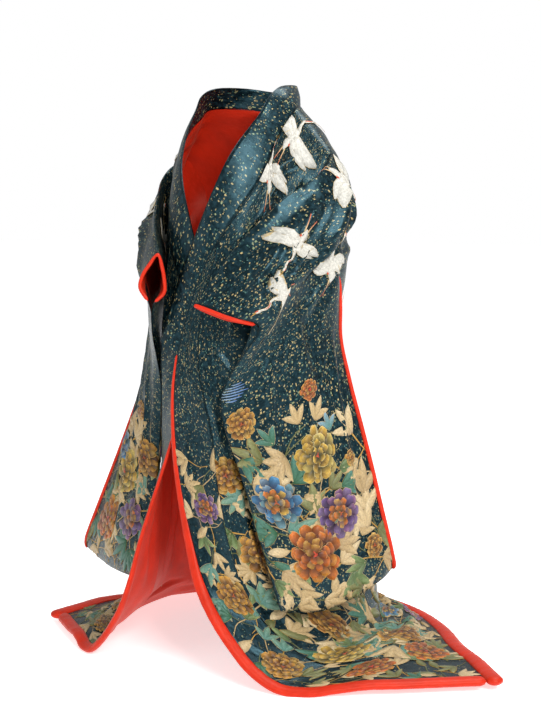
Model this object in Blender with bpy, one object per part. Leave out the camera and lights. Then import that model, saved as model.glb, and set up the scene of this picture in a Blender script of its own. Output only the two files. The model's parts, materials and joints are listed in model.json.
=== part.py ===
"""Uchikake wedding kimono, worn form with no wearer: an open, trailing over-kimono
with hanging sleeves, a red lining and a padded red hem roll.

Metres, +Z up, the wearer faces -Y and the wearer's left side is +X.  The garment is
laid out over a floor at z = 0 and then lowered by HOLD_HEIGHT, so that the origin is
where the wearer's neck and shoulders carry it.

The shape comes from seam lines.  Each table below is one half of the garment; a row
is a level measured down the cloth from the shoulder fold, and each group of three
numbers is the place of a seam, or of the middle of a panel, at that level.
"""
import math

import bmesh
import bpy
import numpy as np

for old in list(bpy.data.objects):
    bpy.data.objects.remove(old, do_unlink=True)

# ---------------------------------------------------------------- named sizes
HOLD_HEIGHT = 1.330      # neck and shoulders above the floor
CLOTH = 0.0015           # outer cloth wall
LINING = 0.0010          # red lining wall
COLLAR_WALL = 0.0030     # folded, stiffened collar band
GAP = 0.0003             # between pieces that are sewn or lie together
ARMHOLE = 0.24           # depth of the armhole down from the shoulder fold
OKUMI_TOP = 0.40         # level of the overlap panel's point at the collar
SIDE_SLIT = 0.40         # level where the side seam begins, under the open slit
COLLAR_END = 0.63        # level where the collar band stops
LENGTH = 1.90            # shoulder fold to hem
NAPE = 0.10              # level of the nape on the centre back seam
BACK_WIDTH = 0.34        # half back, centre seam to side seam
FRONT_WIDTH = 0.30       # side seam to overlap seam
OKUMI_WIDTH = 0.16       # overlap seam to front edge
SLEEVE_DROP = 1.00       # shoulder fold to the foot of the hanging sleeve
TOP_FOLD = 0.12          # depth over which a sleeve rounds out under its top fold
FOOT_FOLD = 0.075        # depth over which it closes at its foot
FRONT_FOLD = 0.16        # part of its width over which it closes under the cuff
CUFF_FOLD = 0.10         # depth over which the cuff opening narrows to its lower corner
FOLD_REACH = 2.0         # most that a wall is deepened inside a sharp fold
CUFF_RADIUS = 0.0045     # red roll round each cuff
FURI_RADIUS = 0.0045     # red roll down each open sleeve edge
HEM_ROLL = (0.042, 0.023)    # padded hem: across the edge, through the cloth
ROLL_START = 0.004       # from the collar end to the start of the padded edge

# Levels down the cloth at which the panels have a row of points.
ARM_LEVELS = [0.0, 0.05, NAPE, 0.147, 0.194]
SKIRT_TOP, SKIRT_ROWS, TRAIN_TOP, TRAIN_ROWS = COLLAR_END, 7, 1.25, 10
BODY_LEVELS = (
    ARM_LEVELS + [ARMHOLE, 0.32, OKUMI_TOP, 0.475, 0.55]
    + [SKIRT_TOP + (TRAIN_TOP - SKIRT_TOP) * k / SKIRT_ROWS for k in range(SKIRT_ROWS)]
    + [TRAIN_TOP + (LENGTH - TRAIN_TOP) * k / TRAIN_ROWS for k in range(TRAIN_ROWS + 1)])
SLEEVE_LEVELS = ARM_LEVELS + [ARMHOLE, 0.27, 0.31, 0.38, 0.46, 0.55, 0.64, 0.73, 0.82, 0.895,
                              0.945, 0.98, SLEEVE_DROP]
SLEEVE_STEPS = [0.0, 0.12, 0.25, 0.40, 0.55, 0.70, 0.83, 0.94, 1.0]
PANEL_COLS = 6           # strips of points across a front or back panel
OKUMI_COLS = 2

# ---------------------------------------------------------------- seam lines
# down | front edge or collar seam | middle of the front | side edge of the front
LEFT_FRONT = [
    (0.00, (0.135, 0.030, 1.326), (0.180, 0.036, 1.280), (0.237, 0.035, 1.213)),
    (0.11, (0.132, -0.030, 1.262), (0.174, -0.040, 1.208), (0.222, -0.016, 1.118)),
    (0.24, (0.128, -0.100, 1.150), (0.170, -0.092, 1.095), (0.205, 0.018, 0.985)),
    (0.40, (0.072, -0.198, 0.995), (0.142, -0.146, 0.945), (0.203, 0.040, 0.900)),
    (0.60, (0.000, -0.238, 0.775), (0.122, -0.178, 0.760), (0.203, 0.045, 0.740)),
    (0.82, (-0.014, -0.246, 0.560), (0.148, -0.172, 0.545), (0.220, 0.055, 0.530)),
    (1.04, (0.045, -0.260, 0.335), (0.192, -0.160, 0.330), (0.250, 0.070, 0.310)),
    (1.24, (0.150, -0.278, 0.155), (0.244, -0.088, 0.150), (0.272, 0.120, 0.140)),
    (1.42, (0.300, -0.258, 0.018), (0.325, -0.020, 0.045), (0.295, 0.165, 0.045)),
    (1.66, (0.480, -0.115, 0.016), (0.400, 0.105, 0.030), (0.330, 0.250, 0.030)),
    (1.90, (0.655, 0.075, 0.014), (0.470, 0.220, 0.014), (0.345, 0.335, 0.014)),
]
RIGHT_FRONT = [
    (0.00, (-0.140, 0.025, 1.334), (-0.182, 0.036, 1.284), (-0.237, 0.035, 1.213)),
    (0.11, (-0.150, -0.045, 1.275), (-0.180, -0.046, 1.207), (-0.222, -0.016, 1.118)),
    (0.24, (-0.135, -0.120, 1.160), (-0.170, -0.085, 1.095), (-0.203, 0.018, 0.985)),
    (0.40, (-0.085, -0.183, 1.000), (-0.150, -0.120, 0.945), (-0.195, 0.040, 0.900)),
    (0.60, (0.026, -0.206, 0.775), (-0.145, -0.112, 0.760), (-0.192, 0.045, 0.740)),
    (0.82, (-0.034, -0.226, 0.560), (-0.165, -0.075, 0.545), (-0.205, 0.055, 0.530)),
    (1.04, (-0.085, -0.278, 0.320), (-0.195, -0.045, 0.330), (-0.240, 0.080, 0.310)),
    (1.24, (-0.125, -0.310, 0.130), (-0.235, -0.040, 0.150), (-0.270, 0.120, 0.140)),
    (1.42, (-0.210, -0.318, 0.018), (-0.295, -0.050, 0.045), (-0.300, 0.150, 0.045)),
    (1.66, (-0.320, -0.268, 0.016), (-0.380, 0.000, 0.030), (-0.345, 0.205, 0.030)),
    (1.90, (-0.470, -0.185, 0.014), (-0.450, 0.055, 0.014), (-0.375, 0.250, 0.014)),
]
# down | overlap seam, left | overlap seam, right
OVERLAP_SEAMS = [
    (0.40, (0.0760, -0.1955, 0.9930), (-0.0890, -0.1805, 0.9990)),
    (0.60, (0.048, -0.230, 0.765), (-0.100, -0.200, 0.770)),
    (0.82, (0.098, -0.236, 0.550), (-0.118, -0.183, 0.550)),
    (1.04, (0.148, -0.242, 0.330), (-0.140, -0.168, 0.325)),
    (1.24, (0.205, -0.205, 0.150), (-0.152, -0.186, 0.140)),
    (1.42, (0.322, -0.135, 0.035), (-0.258, -0.178, 0.035)),
    (1.66, (0.445, 0.020, 0.022), (-0.362, -0.120, 0.022)),
    (1.90, (0.565, 0.150, 0.014), (-0.475, -0.035, 0.014)),
]
# down | neckline and centre back seam | middle of the back | side edge of the back
LEFT_BACK = [
    (0.00, (0.135, 0.030, 1.326), (0.180, 0.036, 1.280), (0.237, 0.035, 1.213)),
    (0.05, (0.094, 0.093, 1.334), (0.168, 0.100, 1.262), (0.242, 0.082, 1.178)),
    (0.10, (0.000, 0.135, 1.325), (0.145, 0.155, 1.215), (0.240, 0.112, 1.130)),
    (0.24, (0.000, 0.215, 1.190), (0.145, 0.208, 1.090), (0.207, 0.062, 0.985)),
    (0.40, (0.000, 0.262, 1.020), (0.140, 0.225, 0.950), (0.203, 0.040, 0.900)),
    (0.60, (0.000, 0.243, 0.800), (0.125, 0.193, 0.760), (0.203, 0.045, 0.740)),
    (0.82, (0.000, 0.252, 0.570), (0.142, 0.208, 0.550), (0.220, 0.055, 0.530)),
    (1.04, (-0.005, 0.275, 0.350), (0.165, 0.235, 0.340), (0.250, 0.070, 0.310)),
    (1.24, (-0.010, 0.300, 0.160), (0.195, 0.265, 0.160), (0.272, 0.120, 0.140)),
    (1.42, (-0.015, 0.345, 0.045), (0.185, 0.305, 0.045), (0.295, 0.165, 0.045)),
    (1.66, (-0.018, 0.410, 0.035), (0.202, 0.370, 0.033), (0.330, 0.250, 0.030)),
    (1.90, (-0.020, 0.470, 0.014), (0.210, 0.425, 0.014), (0.345, 0.335, 0.014)),
]
RIGHT_BACK = [
    (0.00, (-0.140, 0.025, 1.334), (-0.182, 0.036, 1.284), (-0.237, 0.035, 1.213)),
    (0.05, (-0.094, 0.093, 1.336), (-0.168, 0.100, 1.262), (-0.242, 0.082, 1.178)),
    (0.10, (0.000, 0.135, 1.325), (-0.145, 0.155, 1.215), (-0.240, 0.112, 1.130)),
    (0.24, (0.000, 0.215, 1.190), (-0.145, 0.208, 1.090), (-0.205, 0.062, 0.985)),
    (0.40, (0.000, 0.262, 1.020), (-0.140, 0.225, 0.950), (-0.195, 0.040, 0.900)),
    (0.60, (0.000, 0.243, 0.800), (-0.125, 0.193, 0.760), (-0.192, 0.045, 0.740)),
    (0.82, (0.000, 0.252, 0.570), (-0.142, 0.208, 0.550), (-0.205, 0.055, 0.530)),
    (1.04, (-0.005, 0.275, 0.350), (-0.165, 0.235, 0.340), (-0.240, 0.080, 0.310)),
    (1.24, (-0.010, 0.300, 0.160), (-0.190, 0.262, 0.160), (-0.270, 0.120, 0.140)),
    (1.42, (-0.015, 0.345, 0.045), (-0.200, 0.295, 0.045), (-0.300, 0.150, 0.045)),
    (1.66, (-0.018, 0.410, 0.035), (-0.222, 0.348, 0.033), (-0.345, 0.205, 0.030)),
    (1.90, (-0.020, 0.470, 0.014), (-0.230, 0.392, 0.014), (-0.375, 0.250, 0.014)),
]
# down (negative is round the back of the neck) | collar's free edge, left | right
COLLAR_EDGE = [
    (-0.10, (0.000, 0.152, 1.372), (0.000, 0.152, 1.372)),
    (-0.05, (0.082, 0.098, 1.384), (-0.082, 0.096, 1.386)),
    (0.00, (0.101, 0.012, 1.378), (-0.104, 0.004, 1.382)),
    (0.11, (0.097, -0.068, 1.304), (-0.107, -0.070, 1.320)),
    (0.24, (0.074, -0.146, 1.208), (-0.084, -0.142, 1.208)),
    (0.40, (0.027, -0.206, 1.038), (-0.026, -0.184, 1.080)),
    (0.63, (-0.064, -0.242, 0.772), (0.080, -0.184, 0.790)),
]
# Sleeve stations: armhole and open edge, upper arm, elbow, forearm, cuff.
SLEEVE_STATIONS = [0.0, 0.17, 0.42, 0.70, 1.0]
# down | the layer that faces out, at each station
LEFT_SLEEVE_OUT = [
    (0.00, (0.237, 0.035, 1.213), (0.258, -0.014, 1.178), (0.212, -0.100, 1.110), (0.146, -0.194, 1.004), (0.090, -0.278, 0.870)),
    (0.12, (0.240, 0.108, 1.112), (0.290, 0.046, 1.092), (0.276, -0.060, 1.028), (0.232, -0.166, 0.952), (0.168, -0.252, 0.842)),
    (0.24, (0.207, 0.062, 0.985), (0.264, 0.040, 0.985), (0.262, -0.045, 0.960), (0.246, -0.130, 0.912), (0.236, -0.182, 0.802)),
    (0.31, (0.236, 0.066, 0.920), (0.258, 0.038, 0.915), (0.246, -0.042, 0.900), (0.224, -0.136, 0.838), (0.196, -0.211, 0.742)),
    (0.45, (0.243, 0.062, 0.790), (0.255, 0.022, 0.780), (0.246, -0.058, 0.770), (0.212, -0.154, 0.725), (0.144, -0.250, 0.660)),
    (0.72, (0.321, 0.084, 0.470), (0.310, 0.036, 0.460), (0.294, -0.041, 0.445), (0.250, -0.143, 0.430), (0.194, -0.230, 0.440)),
    (1.00, (0.381, 0.108, 0.215), (0.376, 0.062, 0.190), (0.349, -0.012, 0.158), (0.312, -0.100, 0.140), (0.268, -0.186, 0.152)),
]
LEFT_SLEEVE_IN = [
    (0.00, (0.237, 0.035, 1.213), (0.258, -0.014, 1.178), (0.212, -0.100, 1.110), (0.146, -0.194, 1.004), (0.090, -0.278, 0.870)),
    (0.12, (0.221, -0.038, 1.118), (0.246, -0.024, 1.092), (0.212, -0.086, 1.026), (0.170, -0.166, 0.952), (0.118, -0.230, 0.842)),
    (0.24, (0.205, 0.018, 0.985), (0.252, 0.016, 0.980), (0.228, -0.050, 0.945), (0.198, -0.142, 0.902), (0.182, -0.212, 0.816)),
    (0.31, (0.214, 0.050, 0.920), (0.236, 0.014, 0.910), (0.222, -0.040, 0.890), (0.204, -0.142, 0.852), (0.172, -0.227, 0.766)),
    (0.45, (0.217, 0.056, 0.790), (0.229, 0.012, 0.780), (0.216, -0.044, 0.765), (0.186, -0.140, 0.728), (0.130, -0.238, 0.664)),
    (0.72, (0.291, 0.094, 0.470), (0.279, 0.046, 0.460), (0.264, -0.024, 0.445), (0.222, -0.122, 0.430), (0.176, -0.208, 0.440)),
    (1.00, (0.354, 0.122, 0.215), (0.350, 0.076, 0.190), (0.323, 0.002, 0.158), (0.288, -0.086, 0.140), (0.246, -0.166, 0.152)),
]
RIGHT_SLEEVE_OUT = [
    (0.00, (-0.237, 0.035, 1.213), (-0.256, -0.014, 1.180), (-0.202, -0.100, 1.125), (-0.130, -0.188, 1.050), (-0.042, -0.268, 0.982)),
    (0.12, (-0.240, 0.108, 1.112), (-0.286, 0.048, 1.092), (-0.256, -0.056, 1.046), (-0.178, -0.178, 0.995), (-0.080, -0.292, 0.920)),
    (0.24, (-0.205, 0.062, 0.985), (-0.258, 0.042, 0.985), (-0.236, -0.050, 0.965), (-0.184, -0.150, 0.915), (-0.068, -0.284, 0.836)),
    (0.31, (-0.234, 0.046, 0.920), (-0.250, 0.020, 0.915), (-0.228, -0.064, 0.900), (-0.184, -0.148, 0.850), (-0.110, -0.238, 0.780)),
    (0.45, (-0.276, 0.002, 0.790), (-0.268, -0.028, 0.780), (-0.242, -0.088, 0.770), (-0.208, -0.134, 0.735), (-0.150, -0.173, 0.670)),
    (0.72, (-0.392, -0.056, 0.455), (-0.356, -0.080, 0.445), (-0.302, -0.118, 0.435), (-0.234, -0.150, 0.425), (-0.170, -0.170, 0.410)),
    (1.00, (-0.502, -0.098, 0.172), (-0.448, -0.120, 0.164), (-0.366, -0.156, 0.158), (-0.272, -0.192, 0.158), (-0.176, -0.216, 0.165)),
]
RIGHT_SLEEVE_IN = [
    (0.00, (-0.237, 0.035, 1.213), (-0.256, -0.014, 1.180), (-0.202, -0.100, 1.125), (-0.130, -0.188, 1.050), (-0.042, -0.268, 0.982)),
    (0.12, (-0.221, -0.038, 1.118), (-0.242, -0.028, 1.092), (-0.194, -0.094, 1.034), (-0.134, -0.160, 0.990), (-0.034, -0.252, 0.905)),
    (0.24, (-0.203, 0.018, 0.985), (-0.246, 0.014, 0.980), (-0.208, -0.044, 0.950), (-0.158, -0.126, 0.905), (-0.050, -0.268, 0.834)),
    (0.31, (-0.220, 0.040, 0.920), (-0.234, 0.006, 0.910), (-0.206, -0.044, 0.895), (-0.162, -0.126, 0.848), (-0.094, -0.220, 0.780)),
    (0.45, (-0.256, 0.026, 0.790), (-0.246, -0.004, 0.780), (-0.220, -0.062, 0.770), (-0.186, -0.108, 0.735), (-0.136, -0.150, 0.670)),
    (0.72, (-0.384, -0.030, 0.455), (-0.346, -0.054, 0.445), (-0.290, -0.092, 0.435), (-0.220, -0.124, 0.425), (-0.154, -0.146, 0.410)),
    (1.00, (-0.494, -0.074, 0.172), (-0.440, -0.096, 0.164), (-0.356, -0.132, 0.158), (-0.262, -0.168, 0.158), (-0.158, -0.196, 0.165)),
]
# Width across and thickness of the padded red edge down each front
# down | left | right
FRONT_ROLL = [
    (0.63, (0.007, 0.005), (0.007, 0.005)),
    (0.90, (0.014, 0.008), (0.012, 0.008)),
    (1.20, (0.026, 0.013), (0.024, 0.013)),
    (1.45, (0.032, 0.018), (0.030, 0.018)),
    (1.90, (0.038, 0.022), (0.036, 0.022)),
]
# Large soft folds of the body: place across in metres from the centre back (left is
# positive), half width, depth, level where it starts, level where it ends, drift
BODY_FOLDS = [
    (0.085, 0.045, 0.020, 0.62, 1.90, 0.05),
    (0.190, 0.040, -0.014, 0.66, 1.55, 0.05),
    (0.270, 0.045, 0.014, 0.74, 1.90, 0.03),
    (0.000, 0.038, -0.012, 0.70, 1.60, 0.00),
    (-0.095, 0.045, 0.019, 0.66, 1.90, -0.04),
    (-0.200, 0.040, -0.013, 0.62, 1.55, -0.04),
    (-0.285, 0.042, 0.012, 0.80, 1.90, -0.02),
    (0.430, 0.045, -0.010, 0.90, 1.60, 0.02),
    (-0.450, 0.045, 0.010, 0.85, 1.80, -0.02),
]
# Billows of the train on the floor: level, half height, rise, slant across
TRAIN_WAVES = [
    (1.47, 0.075, 0.020, 0.10),
    (1.69, 0.070, 0.016, -0.08),
]


# ---------------------------------------------------------------- curves and surfaces
def spline(knots, points, t):
    """Smooth curve through points at rising knots, in the manner of Catmull and Rom."""
    knots = np.asarray(knots, float)
    points = np.asarray(points, float)
    t = min(max(t, knots[0]), knots[-1])
    k = min(max(int(np.searchsorted(knots, t)) - 1, 0), len(knots) - 2)

    def slope(i):
        if i == 0:
            return (points[1] - points[0]) / (knots[1] - knots[0])
        if i == len(knots) - 1:
            return (points[-1] - points[-2]) / (knots[-1] - knots[-2])
        before = (points[i] - points[i - 1]) / (knots[i] - knots[i - 1])
        after = (points[i + 1] - points[i]) / (knots[i + 1] - knots[i])
        share = (knots[i] - knots[i - 1]) / (knots[i + 1] - knots[i - 1])
        return before * (1 - share) + after * share

    h = knots[k + 1] - knots[k]
    s = (t - knots[k]) / h
    return ((2 * s**3 - 3 * s**2 + 1) * points[k] + (s**3 - 2 * s**2 + s) * h * slope(k)
            + (3 * s**2 - 2 * s**3) * points[k + 1] + (s**3 - s**2) * h * slope(k + 1))


def unit(v):
    return v / max(np.linalg.norm(v), 1e-12)


def smooth(x):
    x = min(max(x, 0.0), 1.0)
    return x * x * (3 - 2 * x)


def line(table, column, down, first=-1.0, last=9.0):
    """A table's column read at a level, from the rows between two levels only."""
    rows = [row for row in table if first - 1e-9 <= row[0] <= last + 1e-9]
    return spline([row[0] for row in rows], [row[column] for row in rows], down)


TABLES = {"left": (LEFT_FRONT, LEFT_BACK, 1, 1), "right": (RIGHT_FRONT, RIGHT_BACK, 2, -1)}
OTHER = {"left": "right", "right": "left"}


def front_edge(half, down):
    return line(TABLES[half][0], 1, down)


def inner_seam(half, down):
    """Inner edge of the front panel: the collar seam, then the overlap seam."""
    if down < OKUMI_TOP - 1e-9:
        return front_edge(half, down)
    return line(OVERLAP_SEAMS, TABLES[half][2], down)


def back_inner(half, down):
    """Inner edge of the back panel: the neckline, then the centre back seam."""
    if down < NAPE:
        return line(TABLES[half][1], 1, down, last=NAPE)
    return line(TABLES[half][1], 1, down, first=NAPE)


def panel_base(half, face, a, down):
    """Front panel from its inner seam (0) to its side (1); back from side to centre."""
    front, back, _, _ = TABLES[half]
    ahead = [inner_seam(half, down), line(front, 2, down), line(front, 3, down)]
    behind = [line(back, 3, down), line(back, 2, down), back_inner(half, down)]
    beyond = [line(TABLES[OTHER[half]][1], 2, down)] if down >= NAPE - 1e-9 else []
    if down >= SIDE_SLIT - 1e-9:
        knots, first = ahead + behind[1:] + beyond, (0 if face == "front" else 2)
    elif face == "front":
        knots, first = ahead, 0
    else:
        knots, first = behind + beyond, 0
    chords = np.cumsum([0.0] + [np.linalg.norm(q - p) for p, q in zip(knots, knots[1:])])
    k = first + (1 if a > 0.5 else 0)
    t = chords[k] + (chords[k + 1] - chords[k]) * (a * 2 - (1 if a > 0.5 else 0))
    return spline(chords, knots, t)


def base(half, face, a, down):
    if face != "okumi":
        return panel_base(half, face, a, down)
    start, end = front_edge(half, down), inner_seam(half, down)
    return start + (end - start) * a


def beside(half, face, a, down):
    """A place on a front or back panel, running on into the next panel past a seam."""
    if face == "front" and a > 1 and down >= SIDE_SLIT - 1e-9:
        return panel_base(half, "back", a - 1, down)
    if face == "back" and a < 0 and down >= SIDE_SLIT - 1e-9:
        return panel_base(half, "front", 1 + a, down)
    if face == "back" and a > 1 and down >= NAPE - 1e-9:
        return panel_base(OTHER[half], "back", 2 - a, down)
    return panel_base(half, face, min(max(a, 0.0), 1.0), down)


def rough_normal(half, face, a, down):
    """Outward direction of the cloth before its folds."""
    e = 0.015
    if face == "okumi":
        own = unit(np.cross(base(half, face, 0.5, min(down + e, LENGTH)) -
                            base(half, face, 0.5, down - e),
                            inner_seam(half, down) - front_edge(half, down)))
        own = own if half == "left" else -own
        return unit(own * (1 - a) + rough_normal(half, "front", 0.0, down) * a)
    d0, d1 = max(down - e, 0.0), min(down + e, LENGTH)
    n = unit(np.cross(base(half, face, a, d1) - base(half, face, a, d0),
                      beside(half, face, a + e, down) - beside(half, face, a - e, down)))
    return n if half == "left" else -n


def across_of(half, face, a):
    """Metres across the cloth from the centre back seam."""
    start, width = {"back": (BACK_WIDTH, -BACK_WIDTH),
                    "front": (BACK_WIDTH + FRONT_WIDTH, -FRONT_WIDTH),
                    "okumi": (BACK_WIDTH + FRONT_WIDTH + OKUMI_WIDTH, -OKUMI_WIDTH)}[face]
    return TABLES[half][3] * (start + width * a)


def fold_height(across, down):
    height = 0.0
    for place, half, depth, start, end, drift in BODY_FOLDS:
        run = (down - start) / (end - start)
        if 0 < run < 1:
            x = (across - place - drift * run) / half
            height += depth * math.exp(-x * x) * smooth(run * 3) * smooth((1 - run) * 4)
    return height


def wave_height(across, down):
    height = 0.0
    for level, half, rise, slant in TRAIN_WAVES:
        x = (down - level - slant * across) / half
        height += rise * math.exp(-x * x)
    return height * smooth((0.80 - abs(across)) / 0.30) * smooth((LENGTH - down) / 0.12)


def cloth(half, face, a, down):
    """A point of the outer cloth, folds included."""
    across = across_of(half, face, a)
    p = base(half, face, a, down)
    upright = smooth((p[2] - 0.03) / 0.12)
    p = p + rough_normal(half, face, a, down) * fold_height(across, down) * upright
    p[2] += wave_height(across, down) * (1 - smooth((p[2] - 0.04) / 0.12))
    return p


def grid_mesh(points, keep=None, fold_row=9999):
    """An open mesh through a grid of points, each vertex tagged with its place.

    From fold_row on the quads split the other way, so a folded piece is alike on both sides."""
    rows, cols = len(points), len(points[0])
    bm = bmesh.new()
    bmesh.ops.create_grid(bm, x_segments=cols - 1, y_segments=rows - 1, size=0.5)
    tag = bm.verts.layers.int.new("place")
    for v in bm.verts:
        c, r = round((v.co.x + 0.5) * (cols - 1)), round((v.co.y + 0.5) * (rows - 1))
        v[tag] = r * cols + c
    if keep:
        gone = [f for f in bm.faces if not keep(min(v[tag] // cols for v in f.verts),
                                                min(v[tag] % cols for v in f.verts))]
        bmesh.ops.delete(bm, geom=gone, context="FACES")
    turned = [f for f in bm.faces if min(v[tag] // cols for v in f.verts) >= fold_row]
    plain = [f for f in bm.faces if min(v[tag] // cols for v in f.verts) < fold_row]
    bmesh.ops.triangulate(bm, faces=plain, quad_method="FIXED")
    if turned:
        bmesh.ops.triangulate(bm, faces=turned, quad_method="ALTERNATE")
    for v in bm.verts:
        r, c = divmod(v[tag], cols)
        v.co = points[r][c]
    return bm, tag


def even_normal(v, reach):
    """The direction that faces all of a point's faces most evenly.

    It is longer where they meet sharply, so that the wall keeps its thickness there."""
    faces = [np.array(f.normal) for f in v.link_faces]
    n = unit(np.array(v.normal))
    for _ in range(60):
        n = unit(n + 0.05 * min(faces, key=lambda f: np.dot(f, n)))
    return -n * min(1 / max(min(np.dot(f, n) for f in faces), 0.1), reach)


def grid_normals(points, fold_row=9999, reach=1.0):
    """Directions off the cloth at each point of its grid, alike where it is welded."""
    bm, tag = grid_mesh(points, fold_row=fold_row)
    place = {v[tag]: tuple(round(x, 7) for x in v.co) for v in bm.verts}
    bmesh.ops.remove_doubles(bm, verts=bm.verts[:], dist=1e-6)
    bm.normal_update()
    by_place = {tuple(round(x, 7) for x in v.co): even_normal(v, reach) for v in bm.verts}
    cols = len(points[0])
    normals = [[by_place[place[r * cols + c]] for c in range(cols)] for r in range(len(points))]
    bm.free()
    return normals


# ---------------------------------------------------------------- building solids
collection = bpy.data.collections.new("uchikake")
bpy.context.scene.collection.children.link(collection)


def material(name, colour, roughness):
    mat = bpy.data.materials.new(name)
    mat.use_nodes = True
    shader = mat.node_tree.nodes["Principled BSDF"]
    shader.inputs["Base Color"].default_value = (*colour, 1.0)
    shader.inputs["Roughness"].default_value = roughness
    shader.inputs["Metallic"].default_value = 0.0
    return mat


SATIN = material("teal_satin", (0.012, 0.040, 0.048), 0.42)
RED = material("vermilion_silk", (0.72, 0.035, 0.012), 0.50)


def add_object(name, bm, mat):
    bmesh.ops.recalc_face_normals(bm, faces=bm.faces)
    mesh = bpy.data.meshes.new(name)
    bm.to_mesh(mesh)
    bm.free()
    mesh.materials.append(mat)
    mesh.shade_smooth()
    mesh.set_sharp_from_angle(angle=math.radians(50))
    obj = bpy.data.objects.new(name, mesh)
    collection.objects.link(obj)
    return obj


def wall(name, points, normals, near, thick, mat, keep=None, fold_row=9999):
    """A cloth wall between two depths under a grid of outer points."""
    cols = len(points[0])
    lower = np.array([0.0, 0.0, HOLD_HEIGHT])
    bm, tag = grid_mesh(points, keep, fold_row)
    for v in bm.verts:
        r, c = divmod(v[tag], cols)
        v.co = points[r][c] - normals[r][c] * near - lower
    bmesh.ops.remove_doubles(bm, verts=bm.verts[:], dist=1e-6)
    done = bmesh.ops.extrude_face_region(bm, geom=bm.faces[:], use_keep_orig=True)
    for v in (g for g in done["geom"] if isinstance(g, bmesh.types.BMVert)):
        r, c = divmod(v[tag], cols)
        v.co = points[r][c] - normals[r][c] * (near + thick) - lower
    rim = [f for f in bm.faces if len(f.verts) == 4]
    bmesh.ops.triangulate(bm, faces=rim, quad_method="SHORT_EDGE")
    return add_object(name, bm, mat)


def roll(name, sections, mat, sides=8):
    """A padded roll: an oval carried along a line of (centre, width, depth, out, up)."""
    lower = np.array([0.0, 0.0, HOLD_HEIGHT])
    bm = bmesh.new()
    rings = []
    for centre, width, depth, out, up in sections:
        turns = [2 * math.pi * (k + 0.5) / sides for k in range(sides)]
        rings.append([bm.verts.new(centre - lower + out * (width / 2 * math.cos(t))
                                   + up * (depth / 2 * math.sin(t))) for t in turns])
    for one, two in zip(rings, rings[1:]):
        for k in range(sides):
            bm.faces.new((one[k], one[(k + 1) % sides], two[(k + 1) % sides], two[k]))
    bm.faces.new(rings[0])
    bm.faces.new(rings[-1])
    bmesh.ops.triangulate(bm, faces=bm.faces[:])
    return add_object(name, bm, mat)


def edge_sections(edge, inside, normals, sizes, sides=8):
    """Sections of a roll that lies along a cloth edge, just clear of it.

    edge and inside are rows of points, on the edge and a step in from it; sizes are the
    roll's width across the edge and its depth through the cloth."""
    wall_depth = CLOTH + GAP + LINING
    frames = []
    for k, (p, q, n) in enumerate(zip(edge, inside, normals)):
        run = unit(edge[min(k + 1, len(edge) - 1)] - edge[max(k - 1, 0)])
        out = p - q
        out = unit(out - run * np.dot(out, run))
        up = np.cross(run, out)
        frames.append((out, unit(up if np.dot(up, n) > 0 else -up)))
    sections = []
    for k, (p, n, (width, depth), (out, up)) in enumerate(zip(edge, normals, sizes, frames)):
        flat_side, flat_half = width / 2 * math.cos(math.pi / sides), depth / 2 * math.sin(math.pi / sides)
        lean = max(-np.dot(out, n) * wall_depth, 0.0)
        twist = max(np.linalg.norm(up - frames[j][1]) for j in (max(k - 1, 0), min(k + 1, len(edge) - 1)))
        clear = GAP + lean + (flat_half + wall_depth / 2) * twist / 2
        sections.append((p + out * (flat_side + clear) - up * wall_depth / 2, width, depth, out, up))
    return sections


# ---------------------------------------------------------------- grids of points
PIECES = {}
for half in ("left", "right"):
    sign = TABLES[half][3]
    for face, cols in (("front", PANEL_COLS), ("back", PANEL_COLS), ("okumi", OKUMI_COLS)):
        levels = BODY_LEVELS if face != "okumi" else [d for d in BODY_LEVELS if d > OKUMI_TOP - 1e-9]
        points = [[cloth(half, face, c / cols, d) for c in range(cols + 1)] for d in levels]
        PIECES[half, face] = levels, points, [[n * sign for n in row] for row in grid_normals(points)]


def collar_half(half):
    """Seam places from the collar end up the front and round to the nape."""
    stations = []
    for down in [d for d in BODY_LEVELS if d <= COLLAR_END + 1e-9][::-1]:
        face = "front" if down < OKUMI_TOP - 1e-9 else "okumi"
        levels, points, normals = PIECES[half, face]
        row = levels.index(down)
        stations.append((points[row][0], line(COLLAR_EDGE, TABLES[half][2], down), normals[row], 0))
    for down in ARM_LEVELS[1:3]:
        levels, points, normals = PIECES[half, "back"]
        row = levels.index(down)
        stations.append((points[row][-1], line(COLLAR_EDGE, TABLES[half][2], -down), normals[row], -1))
    return stations


def collar_grid(cols=3, bulge=0.004):
    """Points and directions of the collar band, seam edge first."""
    stations = collar_half("left") + collar_half("right")[:-1][::-1]
    points, normals = [], []
    for k, (seam, free, panel, column) in enumerate(stations):
        before, after = stations[max(k - 1, 0)], stations[min(k + 1, len(stations) - 1)]
        along = unit(after[0] + after[1] - before[0] - before[1])
        own = unit(np.cross(along, unit(free - seam)))
        points.append([seam + (free - seam) * c / cols + own * bulge * math.sin(math.pi * c / cols)
                       for c in range(cols + 1)])
        normals.append([unit(own + panel[column])] + [own] * cols)
    mitres = [row[0] for row in normals]
    for k, (_, _, panel, column) in enumerate(stations):
        eased = unit(mitres[max(k - 1, 0)] + mitres[k] * 2 + mitres[min(k + 1, len(mitres) - 1)])
        normals[k][0] = panel[column] = eased
    PIECES["left", "back"][2][ARM_LEVELS.index(NAPE)][-1] = normals[len(collar_half("left")) - 1][0]
    PIECES["right", "back"][2][ARM_LEVELS.index(NAPE)][-1] = normals[len(collar_half("left")) - 1][0]
    return points, normals


SLEEVE_TABLES = {"left": (LEFT_SLEEVE_OUT, LEFT_SLEEVE_IN), "right": (RIGHT_SLEEVE_OUT, RIGHT_SLEEVE_IN)}


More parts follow.
